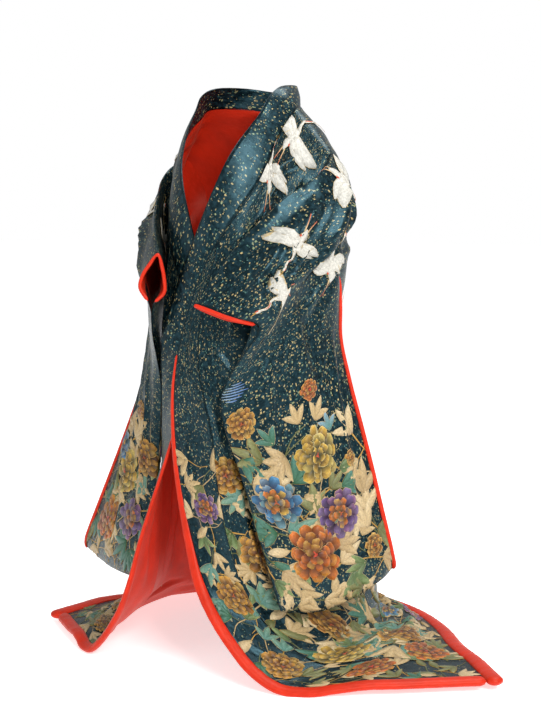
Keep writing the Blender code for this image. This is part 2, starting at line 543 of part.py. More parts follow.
def sleeve_point(half, layer, s, down):
    """A point of a sleeve, s running from the armhole edge (0) to the cuff (1)."""
    outs, ins = SLEEVE_TABLES[half]
    mids, gaps = [], []
    for k in range(len(SLEEVE_STATIONS)):
        if k == 0 and down <= ARMHOLE + 1e-9:
            one, two = cloth(half, "back", 0.0, down), cloth(half, "front", 1.0, down)
            spread = (one - two) / 2
        else:
            one, two = line(outs, k + 1, down), line(ins, k + 1, down)
            spread = (one - two) / 2
            if down < TOP_FOLD:
                spread = (line(outs, k + 1, TOP_FOLD) - line(ins, k + 1, TOP_FOLD)) / 2
                spread = spread * (down / TOP_FOLD) ** 0.7
        if down > SLEEVE_DROP - FOOT_FOLD:
            x = (down - SLEEVE_DROP + FOOT_FOLD) / FOOT_FOLD
            spread = spread * math.sqrt(max(1 - x * x, 0.0))
        mids.append((one + two) / 2)
        gaps.append(spread)
    mid, gap = spline(SLEEVE_STATIONS, mids, s), spline(SLEEVE_STATIONS, gaps, s)
    x = max((s - 1 + FRONT_FOLD) / FRONT_FOLD, 0.0)
    closed = smooth((down - ARMHOLE + CUFF_FOLD) / CUFF_FOLD)
    gap = gap * (1 - closed + closed * math.sqrt(max(1 - x * x, 0.0)))
    return mid + gap if layer == "out" else mid - gap


SLEEVE_ORDER = [("out", d) for d in SLEEVE_LEVELS] + [("in", d) for d in SLEEVE_LEVELS[::-1][1:]]
FOOT_ROW = len(SLEEVE_LEVELS) - 1


def sleeve_grid(half):
    """Points and directions right round a sleeve, down the outer layer and up the inner."""
    points = [[sleeve_point(half, layer, s, d) for s in SLEEVE_STEPS] for layer, d in SLEEVE_ORDER]
    normals = grid_normals(points, FOOT_ROW, FOLD_REACH)
    middle = FOOT_ROW // 2
    if np.dot(normals[middle][3], points[middle][3] - points[-1 - middle][3]) < 0:
        normals = [[-n for n in row] for row in normals]
    for r, (layer, down) in enumerate(SLEEVE_ORDER):
        if down < ARMHOLE + 1e-9:
            levels, _, panel = PIECES[half, "back" if layer == "out" else "front"]
            row, column = levels.index(down), 0 if layer == "out" else -1
            normals[r][0] = panel[row][column] = unit(panel[row][column] + unit(normals[r][0]))
    return points, normals


def share(one, col_one, two, col_two, first):
    """Give two panels the same direction along their common seam, from a level down."""
    levels_one, _, n_one = PIECES[one]
    levels_two, _, n_two = PIECES[two]
    for i, down in enumerate(levels_one):
        if down >= first - 1e-9 and down in levels_two:
            j = levels_two.index(down)
            n_one[i][col_one] = n_two[j][col_two] = unit(n_one[i][col_one] + n_two[j][col_two])


for half in ("left", "right"):
    share((half, "front"), 0, (half, "okumi"), -1, OKUMI_TOP)
    share((half, "front"), -1, (half, "back"), 0, SIDE_SLIT)
    front_n, back_n = PIECES[half, "front"][2], PIECES[half, "back"][2]
    for c in range(PANEL_COLS + 1):
        top = unit(front_n[0][c] + back_n[0][PANEL_COLS - c])
        front_n[0][c] = back_n[0][PANEL_COLS - c] = top
share(("left", "back"), -1, ("right", "back"), -1, NAPE)
SLEEVES = {half: sleeve_grid(half) for half in ("left", "right")}
COLLAR = collar_grid()
for half in ("left", "right"):
    front_n, back_n, okumi_n = (PIECES[half, face][2] for face in ("front", "back", "okumi"))
    back_n[0][-1] = front_n[0][0]
    back_n[0][0] = front_n[0][-1] = SLEEVES[half][1][0][0]
    SLEEVES[half][1][-1][0] = SLEEVES[half][1][0][0]
    okumi_n[0] = [okumi_n[0][0]] * (OKUMI_COLS + 1)
    front_n[BODY_LEVELS.index(OKUMI_TOP)][0] = okumi_n[0][0]


def open_seams(points, ends=(True, True)):
    """Draw a piece's side edges in by half the gap between sewn pieces."""
    for row in points:
        first, last = unit(row[1] - row[0]), unit(row[-2] - row[-1])
        row[0] = row[0] + first * (GAP / 2 + 1e-5) * ends[0]
        row[-1] = row[-1] + last * (GAP / 2 + 1e-5) * ends[1]


# ---------------------------------------------------------------- body panels
for half in ("left", "right"):
    for face in ("front", "back", "okumi"):
        open_seams(PIECES[half, face][1])
    _, front_p, front_n = PIECES[half, "front"]
    _, back_p, back_n = PIECES[half, "back"]
    # one long cut: up the back, over the shoulder fold and down the front
    points = back_p[::-1] + [row[::-1] for row in front_p[1:]]
    normals = back_n[::-1] + [row[::-1] for row in front_n[1:]]
    wall(f"body_{half}", points, normals, 0.0, CLOTH, SATIN)
    wall(f"body_lining_{half}", points, normals, CLOTH + GAP, LINING, RED)
    _, okumi_p, okumi_n = PIECES[half, "okumi"]
    wall(f"overlap_{half}", okumi_p, okumi_n, 0.0, CLOTH, SATIN)
    wall(f"overlap_lining_{half}", okumi_p, okumi_n, CLOTH + GAP, LINING, RED)


# ---------------------------------------------------------------- collar and sleeves
open_seams(COLLAR[0], ends=(True, False))
wall("collar", *COLLAR, 0.0, COLLAR_WALL, SATIN)


def sleeve_lining_keeps(r, c):
    """Leave the lining out of the narrow fold under the cuff and of the foot."""
    under = [k for k, (_, down) in enumerate(SLEEVE_ORDER) if down > ARMHOLE - 1e-9]
    foot = [k for k, (_, down) in enumerate(SLEEVE_ORDER) if down > 0.94]
    last = len(SLEEVE_STEPS) - 1
    if under[0] <= r < under[-1] and c >= last - 2 or under[0] - 1 <= r <= under[-1] and c == last - 1:
        return False
    return not foot[0] <= r < foot[-1]


for half in ("left", "right"):
    open_seams(SLEEVES[half][0], ends=(True, False))
    wall(f"sleeve_{half}", *SLEEVES[half], 0.0, CLOTH, SATIN, fold_row=FOOT_ROW)
    wall(f"sleeve_lining_{half}", *SLEEVES[half], CLOTH + GAP, LINING, RED,
         keep=sleeve_lining_keeps, fold_row=FOOT_ROW)


# ---------------------------------------------------------------- padded hem and edge rolls
def front_roll(half):
    """Padded edge down the front of one side, growing toward the hem."""
    levels, points, normals = PIECES[half, "okumi"]
    rows = [k for k, down in enumerate(levels) if down > COLLAR_END - 1e-9]
    sizes = [line([(d, np.array(l), np.array(r)) for d, l, r in FRONT_ROLL], TABLES[half][2], levels[k])
             for k in rows]
    sections = edge_sections([points[k][0] for k in rows], [points[k][1] for k in rows],
                             [normals[k][0] for k in rows], sizes)
    first, second = sections[0], sections[1]
    start = first[0] + unit(second[0] - first[0]) * ROLL_START
    # its foot is cut along the hem roll
    corner, beside_it = points[-1][0], points[-1][1]
    out, (width, depth) = unit(corner - beside_it), sizes[-1]
    up = unit(np.array([0.0, 0.0, 1.0]) - out * out[2])
    back = unit(sections[-1][0] - sections[-2][0]) * GAP * 2
    end = corner + out * (width / 2 + GAP) - up * (CLOTH + GAP + LINING) / 2 - back
    return [(start, *first[1:])] + sections[1:-1] + [(end, width, depth, out, up)]


def hem_roll():
    """Padded hem from the left front corner round the back to the right front corner."""
    edge, inside, normals = [], [], []
    for half, face, order in (("left", "okumi", 1), ("left", "front", 1), ("left", "back", 1),
                              ("right", "back", -1), ("right", "front", -1), ("right", "okumi", -1)):
        _, points, directions = PIECES[half, face]
        joined = slice(1 if edge else 0, None)
        edge += points[-1][::order][joined]
        inside += points[-2][::order][joined]
        normals += directions[-1][::order][joined]
    reach = {0: FRONT_ROLL[-1][1][0], -1: FRONT_ROLL[-1][2][0]}
    for end, step in ((0, 1), (-1, -2)):
        out = unit(edge[end] - edge[step])
        more = out * (reach[end] + GAP)
        for row in (edge, inside):
            row.insert(0 if end == 0 else len(row), row[end] + more)
        normals.insert(0 if end == 0 else len(normals), normals[end])
    return edge_sections(edge, inside, normals, [HEM_ROLL] * len(edge))


def cuff_roll(half):
    """Red roll round a cuff, from near its lower corner over the top fold and back."""
    points, normals = SLEEVES[half]
    corner, last = SLEEVE_LEVELS.index(ARMHOLE), len(SLEEVE_STEPS) - 1
    rows = list(range(corner - 1, -1, -1)) + list(range(len(points) - 2, len(points) - 1 - corner, -1))
    return edge_sections([points[r][last] for r in rows], [points[r][last - 1] for r in rows],
                         [normals[r][last] for r in rows], [(2 * CUFF_RADIUS, 2 * CUFF_RADIUS)] * len(rows))


def furi_roll(half):
    """Red roll down a sleeve's open edge, round its foot and up the other layer."""
    points, normals = SLEEVES[half]
    rows = [k for k, (_, down) in enumerate(SLEEVE_ORDER) if down > ARMHOLE + 1e-9]
    return edge_sections([points[k][0] for k in rows], [points[k][1] for k in rows],
                         [normals[k][0] for k in rows], [(2 * FURI_RADIUS, 2 * FURI_RADIUS)] * len(rows))


roll("fuki_hem", hem_roll(), RED)
for half in ("left", "right"):
    roll(f"fuki_{half}", front_roll(half), RED)
    roll(f"cuff_roll_{half}", cuff_roll(half), RED)
    roll(f"furi_roll_{half}", furi_roll(half), RED)
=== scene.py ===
"""Uchikake wedding kimono: the looks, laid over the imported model.

Every cloth here is a finer version of its solid: the same seam tables give a grid of
points, a spline carries that grid to a finer one, and creases, flowers, leaves and
cranes are laid on it by their place in the cut cloth, in metres.
"""
import json
import math
import random

import bmesh
import bpy
import numpy as np
from bpy.props import FloatProperty, FloatVectorProperty, IntProperty, PointerProperty
from mathutils import Matrix

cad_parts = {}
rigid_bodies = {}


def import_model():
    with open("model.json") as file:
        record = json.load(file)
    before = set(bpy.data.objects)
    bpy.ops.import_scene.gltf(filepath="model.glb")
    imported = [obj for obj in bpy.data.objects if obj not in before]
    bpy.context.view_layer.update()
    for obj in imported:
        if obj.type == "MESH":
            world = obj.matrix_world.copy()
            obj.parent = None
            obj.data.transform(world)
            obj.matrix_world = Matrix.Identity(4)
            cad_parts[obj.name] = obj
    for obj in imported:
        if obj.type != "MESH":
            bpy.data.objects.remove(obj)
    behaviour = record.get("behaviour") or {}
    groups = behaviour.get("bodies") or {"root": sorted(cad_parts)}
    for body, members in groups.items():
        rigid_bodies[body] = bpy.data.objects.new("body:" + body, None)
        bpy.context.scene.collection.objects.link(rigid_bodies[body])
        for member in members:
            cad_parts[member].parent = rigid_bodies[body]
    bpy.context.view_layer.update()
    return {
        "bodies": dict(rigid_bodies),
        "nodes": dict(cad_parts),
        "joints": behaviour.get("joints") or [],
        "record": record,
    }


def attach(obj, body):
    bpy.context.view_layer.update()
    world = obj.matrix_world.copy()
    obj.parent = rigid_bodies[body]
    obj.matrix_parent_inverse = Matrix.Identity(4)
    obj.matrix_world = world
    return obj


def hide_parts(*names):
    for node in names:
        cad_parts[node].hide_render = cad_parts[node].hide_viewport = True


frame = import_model()

bl_info = {
    "name": "Uchikake",
    "version": (1, 0, 0),
    "blender": (4, 5, 0),
    "location": "View3D > Sidebar > Uchikake",
    "description": "Dresses the solids of a trailing wedding kimono with its cloth, padding and figures",
    "category": "Object",
}

# ---------------------------------------------------------------- named sizes
HOLD_HEIGHT = 1.330      # neck and shoulders above the floor
CLOTH = 0.0015           # outer cloth wall
LINING = 0.0010          # red lining wall
COLLAR_WALL = 0.0030     # folded, stiffened collar band
GAP = 0.0003             # between pieces that are sewn or lie together
ARMHOLE = 0.24           # depth of the armhole down from the shoulder fold
OKUMI_TOP = 0.40         # level of the overlap panel's point at the collar
SIDE_SLIT = 0.40         # level where the side seam begins, under the open slit
COLLAR_END = 0.63        # level where the collar band stops
LENGTH = 1.90            # shoulder fold to hem
NAPE = 0.10              # level of the nape on the centre back seam
BACK_WIDTH = 0.34        # half back, centre seam to side seam
FRONT_WIDTH = 0.30       # side seam to overlap seam
OKUMI_WIDTH = 0.16       # overlap seam to front edge
SLEEVE_DROP = 1.00       # shoulder fold to the foot of the hanging sleeve
TOP_FOLD = 0.12          # depth over which a sleeve rounds out under its top fold
FOOT_FOLD = 0.075        # depth over which it closes at its foot
FRONT_FOLD = 0.16        # part of its width over which it closes under the cuff
CUFF_FOLD = 0.10         # depth over which the cuff opening narrows to its lower corner
FOLD_REACH = 2.0         # most that a wall is deepened inside a sharp fold
CUFF_RADIUS = 0.0045     # red roll round each cuff
FURI_RADIUS = 0.0045     # red roll down each open sleeve edge
HEM_ROLL = (0.042, 0.023)    # padded hem: across the edge, through the cloth
ROLL_START = 0.004       # from the collar end to the start of the padded edge

# Levels down the cloth at which the panels have a row of points.
ARM_LEVELS = [0.0, 0.05, NAPE, 0.147, 0.194]
SKIRT_TOP, SKIRT_ROWS, TRAIN_TOP, TRAIN_ROWS = COLLAR_END, 7, 1.25, 10
BODY_LEVELS = (
    ARM_LEVELS + [ARMHOLE, 0.32, OKUMI_TOP, 0.475, 0.55]
    + [SKIRT_TOP + (TRAIN_TOP - SKIRT_TOP) * k / SKIRT_ROWS for k in range(SKIRT_ROWS)]
    + [TRAIN_TOP + (LENGTH - TRAIN_TOP) * k / TRAIN_ROWS for k in range(TRAIN_ROWS + 1)])
SLEEVE_LEVELS = ARM_LEVELS + [ARMHOLE, 0.27, 0.31, 0.38, 0.46, 0.55, 0.64, 0.73, 0.82, 0.895,
                              0.945, 0.98, SLEEVE_DROP]
SLEEVE_STEPS = [0.0, 0.12, 0.25, 0.40, 0.55, 0.70, 0.83, 0.94, 1.0]
PANEL_COLS = 6           # strips of points across a front or back panel
OKUMI_COLS = 2           # across an overlap panel
SAME = 1e-9              # levels closer than this are one level
NO_FOLD = 9999           # row of the fold of a piece that has none
HALVES = ("left", "right")


# ---------------------------------------------------------------- seam lines, in millimetres
def numbers(text):
    """Rows of numbers, written in millimetres and read in metres."""
    return [[float(x) / 1000 for x in row.split()] for row in text.strip().splitlines()]


def by_level(text, size=3):
    """Rows of a level and the points, or pairs of sizes, that belong to it."""
    return [(row[0], *(tuple(row[k:k + size]) for k in range(1, len(row), size))) for row in numbers(text)]


# down | front edge or collar seam | middle of the front | side edge of the front
LEFT_FRONT = by_level("""
0 135 30 1326 180 36 1280 237 35 1213
110 132 -30 1262 174 -40 1208 222 -16 1118
240 128 -100 1150 170 -92 1095 205 18 985
400 72 -198 995 142 -146 945 203 40 900
600 0 -238 775 122 -178 760 203 45 740
820 -14 -246 560 148 -172 545 220 55 530
1040 45 -260 335 192 -160 330 250 70 310
1240 150 -278 155 244 -88 150 272 120 140
1420 300 -258 18 325 -20 45 295 165 45
1660 480 -115 16 400 105 30 330 250 30
1900 655 75 14 470 220 14 345 335 14""")

RIGHT_FRONT = by_level("""
0 -140 25 1334 -182 36 1284 -237 35 1213
110 -150 -45 1275 -180 -46 1207 -222 -16 1118
240 -135 -120 1160 -170 -85 1095 -203 18 985
400 -85 -183 1000 -150 -120 945 -195 40 900
600 26 -206 775 -145 -112 760 -192 45 740
820 -34 -226 560 -165 -75 545 -205 55 530
1040 -85 -278 320 -195 -45 330 -240 80 310
1240 -125 -310 130 -235 -40 150 -270 120 140
1420 -210 -318 18 -295 -50 45 -300 150 45
1660 -320 -268 16 -380 0 30 -345 205 30
1900 -470 -185 14 -450 55 14 -375 250 14""")
# down | overlap seam, left | overlap seam, right
OVERLAP_SEAMS = by_level("""
400 76 -195.5 993 -89 -180.5 999
600 48 -230 765 -100 -200 770
820 98 -236 550 -118 -183 550
1040 148 -242 330 -140 -168 325
1240 205 -205 150 -152 -186 140
1420 322 -135 35 -258 -178 35
1660 445 20 22 -362 -120 22
1900 565 150 14 -475 -35 14""")
# down | neckline and centre back seam | middle of the back | side edge of the back
LEFT_BACK = by_level("""
0 135 30 1326 180 36 1280 237 35 1213
50 94 93 1334 168 100 1262 242 82 1178
100 0 135 1325 145 155 1215 240 112 1130
240 0 215 1190 145 208 1090 207 62 985
400 0 262 1020 140 225 950 203 40 900
600 0 243 800 125 193 760 203 45 740
820 0 252 570 142 208 550 220 55 530
1040 -5 275 350 165 235 340 250 70 310
1240 -10 300 160 195 265 160 272 120 140
1420 -15 345 45 185 305 45 295 165 45
1660 -18 410 35 202 370 33 330 250 30
1900 -20 470 14 210 425 14 345 335 14""")

RIGHT_BACK = by_level("""
0 -140 25 1334 -182 36 1284 -237 35 1213
50 -94 93 1336 -168 100 1262 -242 82 1178
100 0 135 1325 -145 155 1215 -240 112 1130
240 0 215 1190 -145 208 1090 -205 62 985
400 0 262 1020 -140 225 950 -195 40 900
600 0 243 800 -125 193 760 -192 45 740
820 0 252 570 -142 208 550 -205 55 530
1040 -5 275 350 -165 235 340 -240 80 310
1240 -10 300 160 -190 262 160 -270 120 140
1420 -15 345 45 -200 295 45 -300 150 45
1660 -18 410 35 -222 348 33 -345 205 30
1900 -20 470 14 -230 392 14 -375 250 14""")
# down (negative is round the back of the neck) | collar's free edge, left | right
COLLAR_EDGE = by_level("""
-100 0 152 1372 0 152 1372
-50 82 98 1384 -82 96 1386
0 101 12 1378 -104 4 1382
110 97 -68 1304 -107 -70 1320
240 74 -146 1208 -84 -142 1208
400 27 -206 1038 -26 -184 1080
630 -64 -242 772 80 -184 790""")
# Sleeve stations: armhole and open edge, upper arm, elbow, forearm, cuff.
SLEEVE_STATIONS = [0.0, 0.17, 0.42, 0.70, 1.0]
# down | the layer that faces out, at each station
LEFT_SLEEVE_OUT = by_level("""
0 237 35 1213 258 -14 1178 212 -100 1110 146 -194 1004 90 -278 870
120 240 108 1112 290 46 1092 276 -60 1028 232 -166 952 168 -252 842
240 207 62 985 264 40 985 262 -45 960 246 -130 912 236 -182 802
310 236 66 920 258 38 915 246 -42 900 224 -136 838 196 -211 742
450 243 62 790 255 22 780 246 -58 770 212 -154 725 144 -250 660
720 321 84 470 310 36 460 294 -41 445 250 -143 430 194 -230 440
1000 381 108 215 376 62 190 349 -12 158 312 -100 140 268 -186 152""")

LEFT_SLEEVE_IN = by_level("""
0 237 35 1213 258 -14 1178 212 -100 1110 146 -194 1004 90 -278 870
120 221 -38 1118 246 -24 1092 212 -86 1026 170 -166 952 118 -230 842
240 205 18 985 252 16 980 228 -50 945 198 -142 902 182 -212 816
310 214 50 920 236 14 910 222 -40 890 204 -142 852 172 -227 766
450 217 56 790 229 12 780 216 -44 765 186 -140 728 130 -238 664
720 291 94 470 279 46 460 264 -24 445 222 -122 430 176 -208 440
1000 354 122 215 350 76 190 323 2 158 288 -86 140 246 -166 152""")

RIGHT_SLEEVE_OUT = by_level("""
0 -237 35 1213 -256 -14 1180 -202 -100 1125 -130 -188 1050 -42 -268 982
120 -240 108 1112 -286 48 1092 -256 -56 1046 -178 -178 995 -80 -292 920
240 -205 62 985 -258 42 985 -236 -50 965 -184 -150 915 -68 -284 836
310 -234 46 920 -250 20 915 -228 -64 900 -184 -148 850 -110 -238 780
450 -276 2 790 -268 -28 780 -242 -88 770 -208 -134 735 -150 -173 670
720 -392 -56 455 -356 -80 445 -302 -118 435 -234 -150 425 -170 -170 410
1000 -502 -98 172 -448 -120 164 -366 -156 158 -272 -192 158 -176 -216 165""")

RIGHT_SLEEVE_IN = by_level("""
0 -237 35 1213 -256 -14 1180 -202 -100 1125 -130 -188 1050 -42 -268 982
120 -221 -38 1118 -242 -28 1092 -194 -94 1034 -134 -160 990 -34 -252 905
240 -203 18 985 -246 14 980 -208 -44 950 -158 -126 905 -50 -268 834
310 -220 40 920 -234 6 910 -206 -44 895 -162 -126 848 -94 -220 780
450 -256 26 790 -246 -4 780 -220 -62 770 -186 -108 735 -136 -150 670
720 -384 -30 455 -346 -54 445 -290 -92 435 -220 -124 425 -154 -146 410
1000 -494 -74 172 -440 -96 164 -356 -132 158 -262 -168 158 -158 -196 165""")
# Width across and thickness of the padded red edge down each front
# down | left | right
FRONT_ROLL = by_level("""
630 7 5 7 5
900 14 8 12 8
1200 26 13 24 13
1450 32 18 30 18
1900 38 22 36 22""", 2)
# Large soft folds of the body: place across from the centre back (left is positive),
# half width, depth, level where it starts, level where it ends, drift
BODY_FOLDS = numbers("""
85 45 20 620 1900 50
190 40 -14 660 1550 50
270 45 14 740 1900 30
0 38 -12 700 1600 0
-95 45 19 660 1900 -40
-200 40 -13 620 1550 -40
-285 42 12 800 1900 -20
430 45 -10 900 1600 20
-450 45 10 850 1800 -20""")
# Billows of the train on the floor, in metres: level, half height, rise, slant across
TRAIN_WAVES = [
    (1.47, 0.075, 0.020, 0.10),
    (1.69, 0.070, 0.016, -0.08),
]


# ---------------------------------------------------------------- curves and surfaces
def spline(knots, points, t):
    """Smooth curve through points at rising knots, in the manner of Catmull and Rom."""
    knots = np.asarray(knots, float)
    points = np.asarray(points, float)
    t = min(max(t, knots[0]), knots[-1])
    k = min(max(int(np.searchsorted(knots, t)) - 1, 0), len(knots) - 2)

    def slope(i):
        if i == 0:
            return (points[1] - points[0]) / (knots[1] - knots[0])
        if i == len(knots) - 1:
            return (points[-1] - points[-2]) / (knots[-1] - knots[-2])
        before = (points[i] - points[i - 1]) / (knots[i] - knots[i - 1])
        after = (points[i + 1] - points[i]) / (knots[i + 1] - knots[i])
        share = (knots[i] - knots[i - 1]) / (knots[i + 1] - knots[i - 1])
        return before * (1 - share) + after * share

    h = knots[k + 1] - knots[k]
    s = (t - knots[k]) / h
    return ((2 * s**3 - 3 * s**2 + 1) * points[k] + (s**3 - 2 * s**2 + s) * h * slope(k)
            + (3 * s**2 - 2 * s**3) * points[k + 1] + (s**3 - s**2) * h * slope(k + 1))


def unit(v):
    """The same direction, one metre long."""
    return v / max(np.linalg.norm(v), 1e-12)


def ease(x):
    """A soft step from 0 to 1."""
    x = np.clip(x, 0.0, 1.0)
    return x * x * (3 - 2 * x)


def line(table, column, down, first=-1.0, last=9.0):
    """A table's column read at a level, from the rows between two levels only."""
    rows = [row for row in table if first - SAME <= row[0] <= last + SAME]
    return spline([row[0] for row in rows], [row[column] for row in rows], down)


TABLES = {"left": (LEFT_FRONT, LEFT_BACK, 1, 1), "right": (RIGHT_FRONT, RIGHT_BACK, 2, -1)}
OTHER = {"left": "right", "right": "left"}


def front_edge(half, down):
    """The front panel's free edge, which the collar or the overlap carries on."""
    return line(TABLES[half][0], 1, down)


def inner_seam(half, down):
    """Inner edge of the front panel: the collar seam, then the overlap seam."""
    if down < OKUMI_TOP - SAME:
        return front_edge(half, down)
    return line(OVERLAP_SEAMS, TABLES[half][2], down)


def back_inner(half, down):
    """Inner edge of the back panel: the neckline, then the centre back seam."""
    if down < NAPE:
        return line(TABLES[half][1], 1, down, last=NAPE)
    return line(TABLES[half][1], 1, down, first=NAPE)


def panel_base(half, face, a, down):
    """Front panel from its inner seam (0) to its side (1); back from side to centre."""
    front, back, _, _ = TABLES[half]
    ahead = [inner_seam(half, down), line(front, 2, down), line(front, 3, down)]
    behind = [line(back, 3, down), line(back, 2, down), back_inner(half, down)]
    beyond = [line(TABLES[OTHER[half]][1], 2, down)] if down >= NAPE - SAME else []
    if down >= SIDE_SLIT - SAME:
        knots, first = ahead + behind[1:] + beyond, (0 if face == "front" else 2)
    elif face == "front":
        knots, first = ahead, 0
    else:
        knots, first = behind + beyond, 0
    chords = np.cumsum([0.0] + [np.linalg.norm(q - p) for p, q in zip(knots, knots[1:])])
    k = first + (1 if a > 0.5 else 0)
    t = chords[k] + (chords[k + 1] - chords[k]) * (a * 2 - (1 if a > 0.5 else 0))
    return spline(chords, knots, t)


def base(half, face, a, down):
    """A point of any panel, before its folds."""
    if face != "okumi":
        return panel_base(half, face, a, down)
    start, end = front_edge(half, down), inner_seam(half, down)
    return start + (end - start) * a


def beside(half, face, a, down):
    """A place on a front or back panel, running on into the next panel past a seam."""
    if face == "front" and a > 1 and down >= SIDE_SLIT - SAME:
        return panel_base(half, "back", a - 1, down)
    if face == "back" and a < 0 and down >= SIDE_SLIT - SAME:
        return panel_base(half, "front", 1 + a, down)
    if face == "back" and a > 1 and down >= NAPE - SAME:
        return panel_base(OTHER[half], "back", 2 - a, down)
    return panel_base(half, face, min(max(a, 0.0), 1.0), down)


def rough_normal(half, face, a, down):
    """Outward direction of the cloth before its folds."""
    e = 0.015
    if face == "okumi":
        own = unit(np.cross(base(half, face, 0.5, min(down + e, LENGTH)) -
                            base(half, face, 0.5, down - e),
                            inner_seam(half, down) - front_edge(half, down)))
        own = own if half == "left" else -own
        return unit(own * (1 - a) + rough_normal(half, "front", 0.0, down) * a)
    d0, d1 = max(down - e, 0.0), min(down + e, LENGTH)
    n = unit(np.cross(base(half, face, a, d1) - base(half, face, a, d0),
                      beside(half, face, a + e, down) - beside(half, face, a - e, down)))
    return n if half == "left" else -n


def across_of(half, face, a):
    """Metres across the cloth from the centre back seam."""
    start, width = {"back": (BACK_WIDTH, -BACK_WIDTH),
                    "front": (BACK_WIDTH + FRONT_WIDTH, -FRONT_WIDTH),
                    "okumi": (BACK_WIDTH + FRONT_WIDTH + OKUMI_WIDTH, -OKUMI_WIDTH)}[face]
    return TABLES[half][3] * (start + width * a)


def fold_height(across, down):
    """How far the soft folds lift the cloth off its panel."""
    height = 0.0
    for place, half, depth, start, end, drift in BODY_FOLDS:
        run = (down - start) / (end - start)
        if 0 < run < 1:
            x = (across - place - drift * run) / half
            height += depth * math.exp(-x * x) * ease(run * 3) * ease((1 - run) * 4)
    return height


def wave_height(across, down):
    """How far the billows lift the train off the floor."""
    height = 0.0
    for level, half, rise, slant in TRAIN_WAVES:
        x = (down - level - slant * across) / half
        height += rise * math.exp(-x * x)
    return height * ease((0.80 - abs(across)) / 0.30) * ease((LENGTH - down) / 0.12)


def cloth(half, face, a, down):
    """A point of the outer cloth, folds included."""
    across = across_of(half, face, a)
    p = base(half, face, a, down)
    upright = ease((p[2] - 0.03) / 0.12)
    p = p + rough_normal(half, face, a, down) * fold_height(across, down) * upright
    p[2] += wave_height(across, down) * (1 - ease((p[2] - 0.04) / 0.12))
    return p


def tagged_grid(rows, cols):
    """A flat mesh of rows and columns of points, each vertex tagged with its place."""
    bm = bmesh.new()
    bmesh.ops.create_grid(bm, x_segments=cols - 1, y_segments=rows - 1, size=0.5)
    tag = bm.verts.layers.int.new("place")
    for v in bm.verts:
        v[tag] = round((v.co.y + 0.5) * (rows - 1)) * cols + round((v.co.x + 0.5) * (cols - 1))
    return bm, tag


def grid_mesh(points, fold_row):
    """An open mesh through a grid of points.

    From fold_row on the quads split the other way, so a folded piece is alike on both sides."""
    cols = len(points[0])
    bm, tag = tagged_grid(len(points), cols)
    tops = {f: min(v[tag] // cols for v in f.verts) for f in bm.faces}
    turned = [f for f, top in tops.items() if top >= fold_row]
    bmesh.ops.triangulate(bm, faces=[f for f, top in tops.items() if top < fold_row],
                          quad_method="FIXED")
    if turned:
        bmesh.ops.triangulate(bm, faces=turned, quad_method="ALTERNATE")
    for v in bm.verts:
        r, c = divmod(v[tag], cols)
        v.co = points[r][c]
    return bm, tag


def even_normal(v, reach):
    """The direction that faces all of a point's faces most evenly.

    It is longer where they meet sharply, so that the wall keeps its thickness there."""
    faces = [np.array(f.normal) for f in v.link_faces]
    n = unit(np.array(v.normal))
    for _ in range(60):
        n = unit(n + 0.05 * min(faces, key=lambda f: np.dot(f, n)))
    return -n * min(1 / max(min(np.dot(f, n) for f in faces), 0.1), reach)


def grid_normals(points, fold_row=NO_FOLD, reach=1.0):
    """Directions off the cloth at each point of its grid, alike where it is welded."""
    bm, tag = grid_mesh(points, fold_row)
    place = {v[tag]: tuple(round(x, 7) for x in v.co) for v in bm.verts}
    bmesh.ops.remove_doubles(bm, verts=bm.verts[:], dist=TOUCH)
    bm.normal_update()
    by_place = {tuple(round(x, 7) for x in v.co): even_normal(v, reach) for v in bm.verts}
    cols = len(points[0])
    normals = [[by_place[place[r * cols + c]] for c in range(cols)] for r in range(len(points))]
    bm.free()
    return normals


def edge_sections(edge, inside, normals, sizes, sides=8):
    """Sections of a roll that lies along a cloth edge, just clear of it.

    edge and inside are rows of points, on the edge and a step in from it; sizes are the
    roll's width across the edge and its depth through the cloth."""
    wall_depth = CLOTH + GAP + LINING
    frames = []
    for k, (p, q, n) in enumerate(zip(edge, inside, normals)):
        run = unit(edge[min(k + 1, len(edge) - 1)] - edge[max(k - 1, 0)])
        out = p - q
        out = unit(out - run * np.dot(out, run))
        up = np.cross(run, out)
        frames.append((out, unit(up if np.dot(up, n) > 0 else -up)))
    sections = []
    for k, (p, n, (width, depth), (out, up)) in enumerate(zip(edge, normals, sizes, frames)):
        flat_side = width / 2 * math.cos(math.pi / sides)
        flat_half = depth / 2 * math.sin(math.pi / sides)
        lean = max(-np.dot(out, n) * wall_depth, 0.0)
        twist = max(np.linalg.norm(up - frames[j][1]) for j in (max(k - 1, 0), min(k + 1, len(edge) - 1)))
        clear = GAP + lean + (flat_half + wall_depth / 2) * twist / 2
        sections.append((p + out * (flat_side + clear) - up * wall_depth / 2, width, depth, out, up))
    return sections


# ---------------------------------------------------------------- grids of points
PIECES, SLEEVES, COLLAR = {}, {}, {}


def panel_grids():
    """Points and directions of the fronts, backs and overlaps."""
    for half in HALVES:
        sign = TABLES[half][3]
        for face, cols in (("front", PANEL_COLS), ("back", PANEL_COLS), ("okumi", OKUMI_COLS)):
            levels = BODY_LEVELS if face != "okumi" else [d for d in BODY_LEVELS if d > OKUMI_TOP - SAME]
            points = [[cloth(half, face, c / cols, d) for c in range(cols + 1)] for d in levels]
            PIECES[half, face] = levels, points, [[n * sign for n in row] for row in grid_normals(points)]


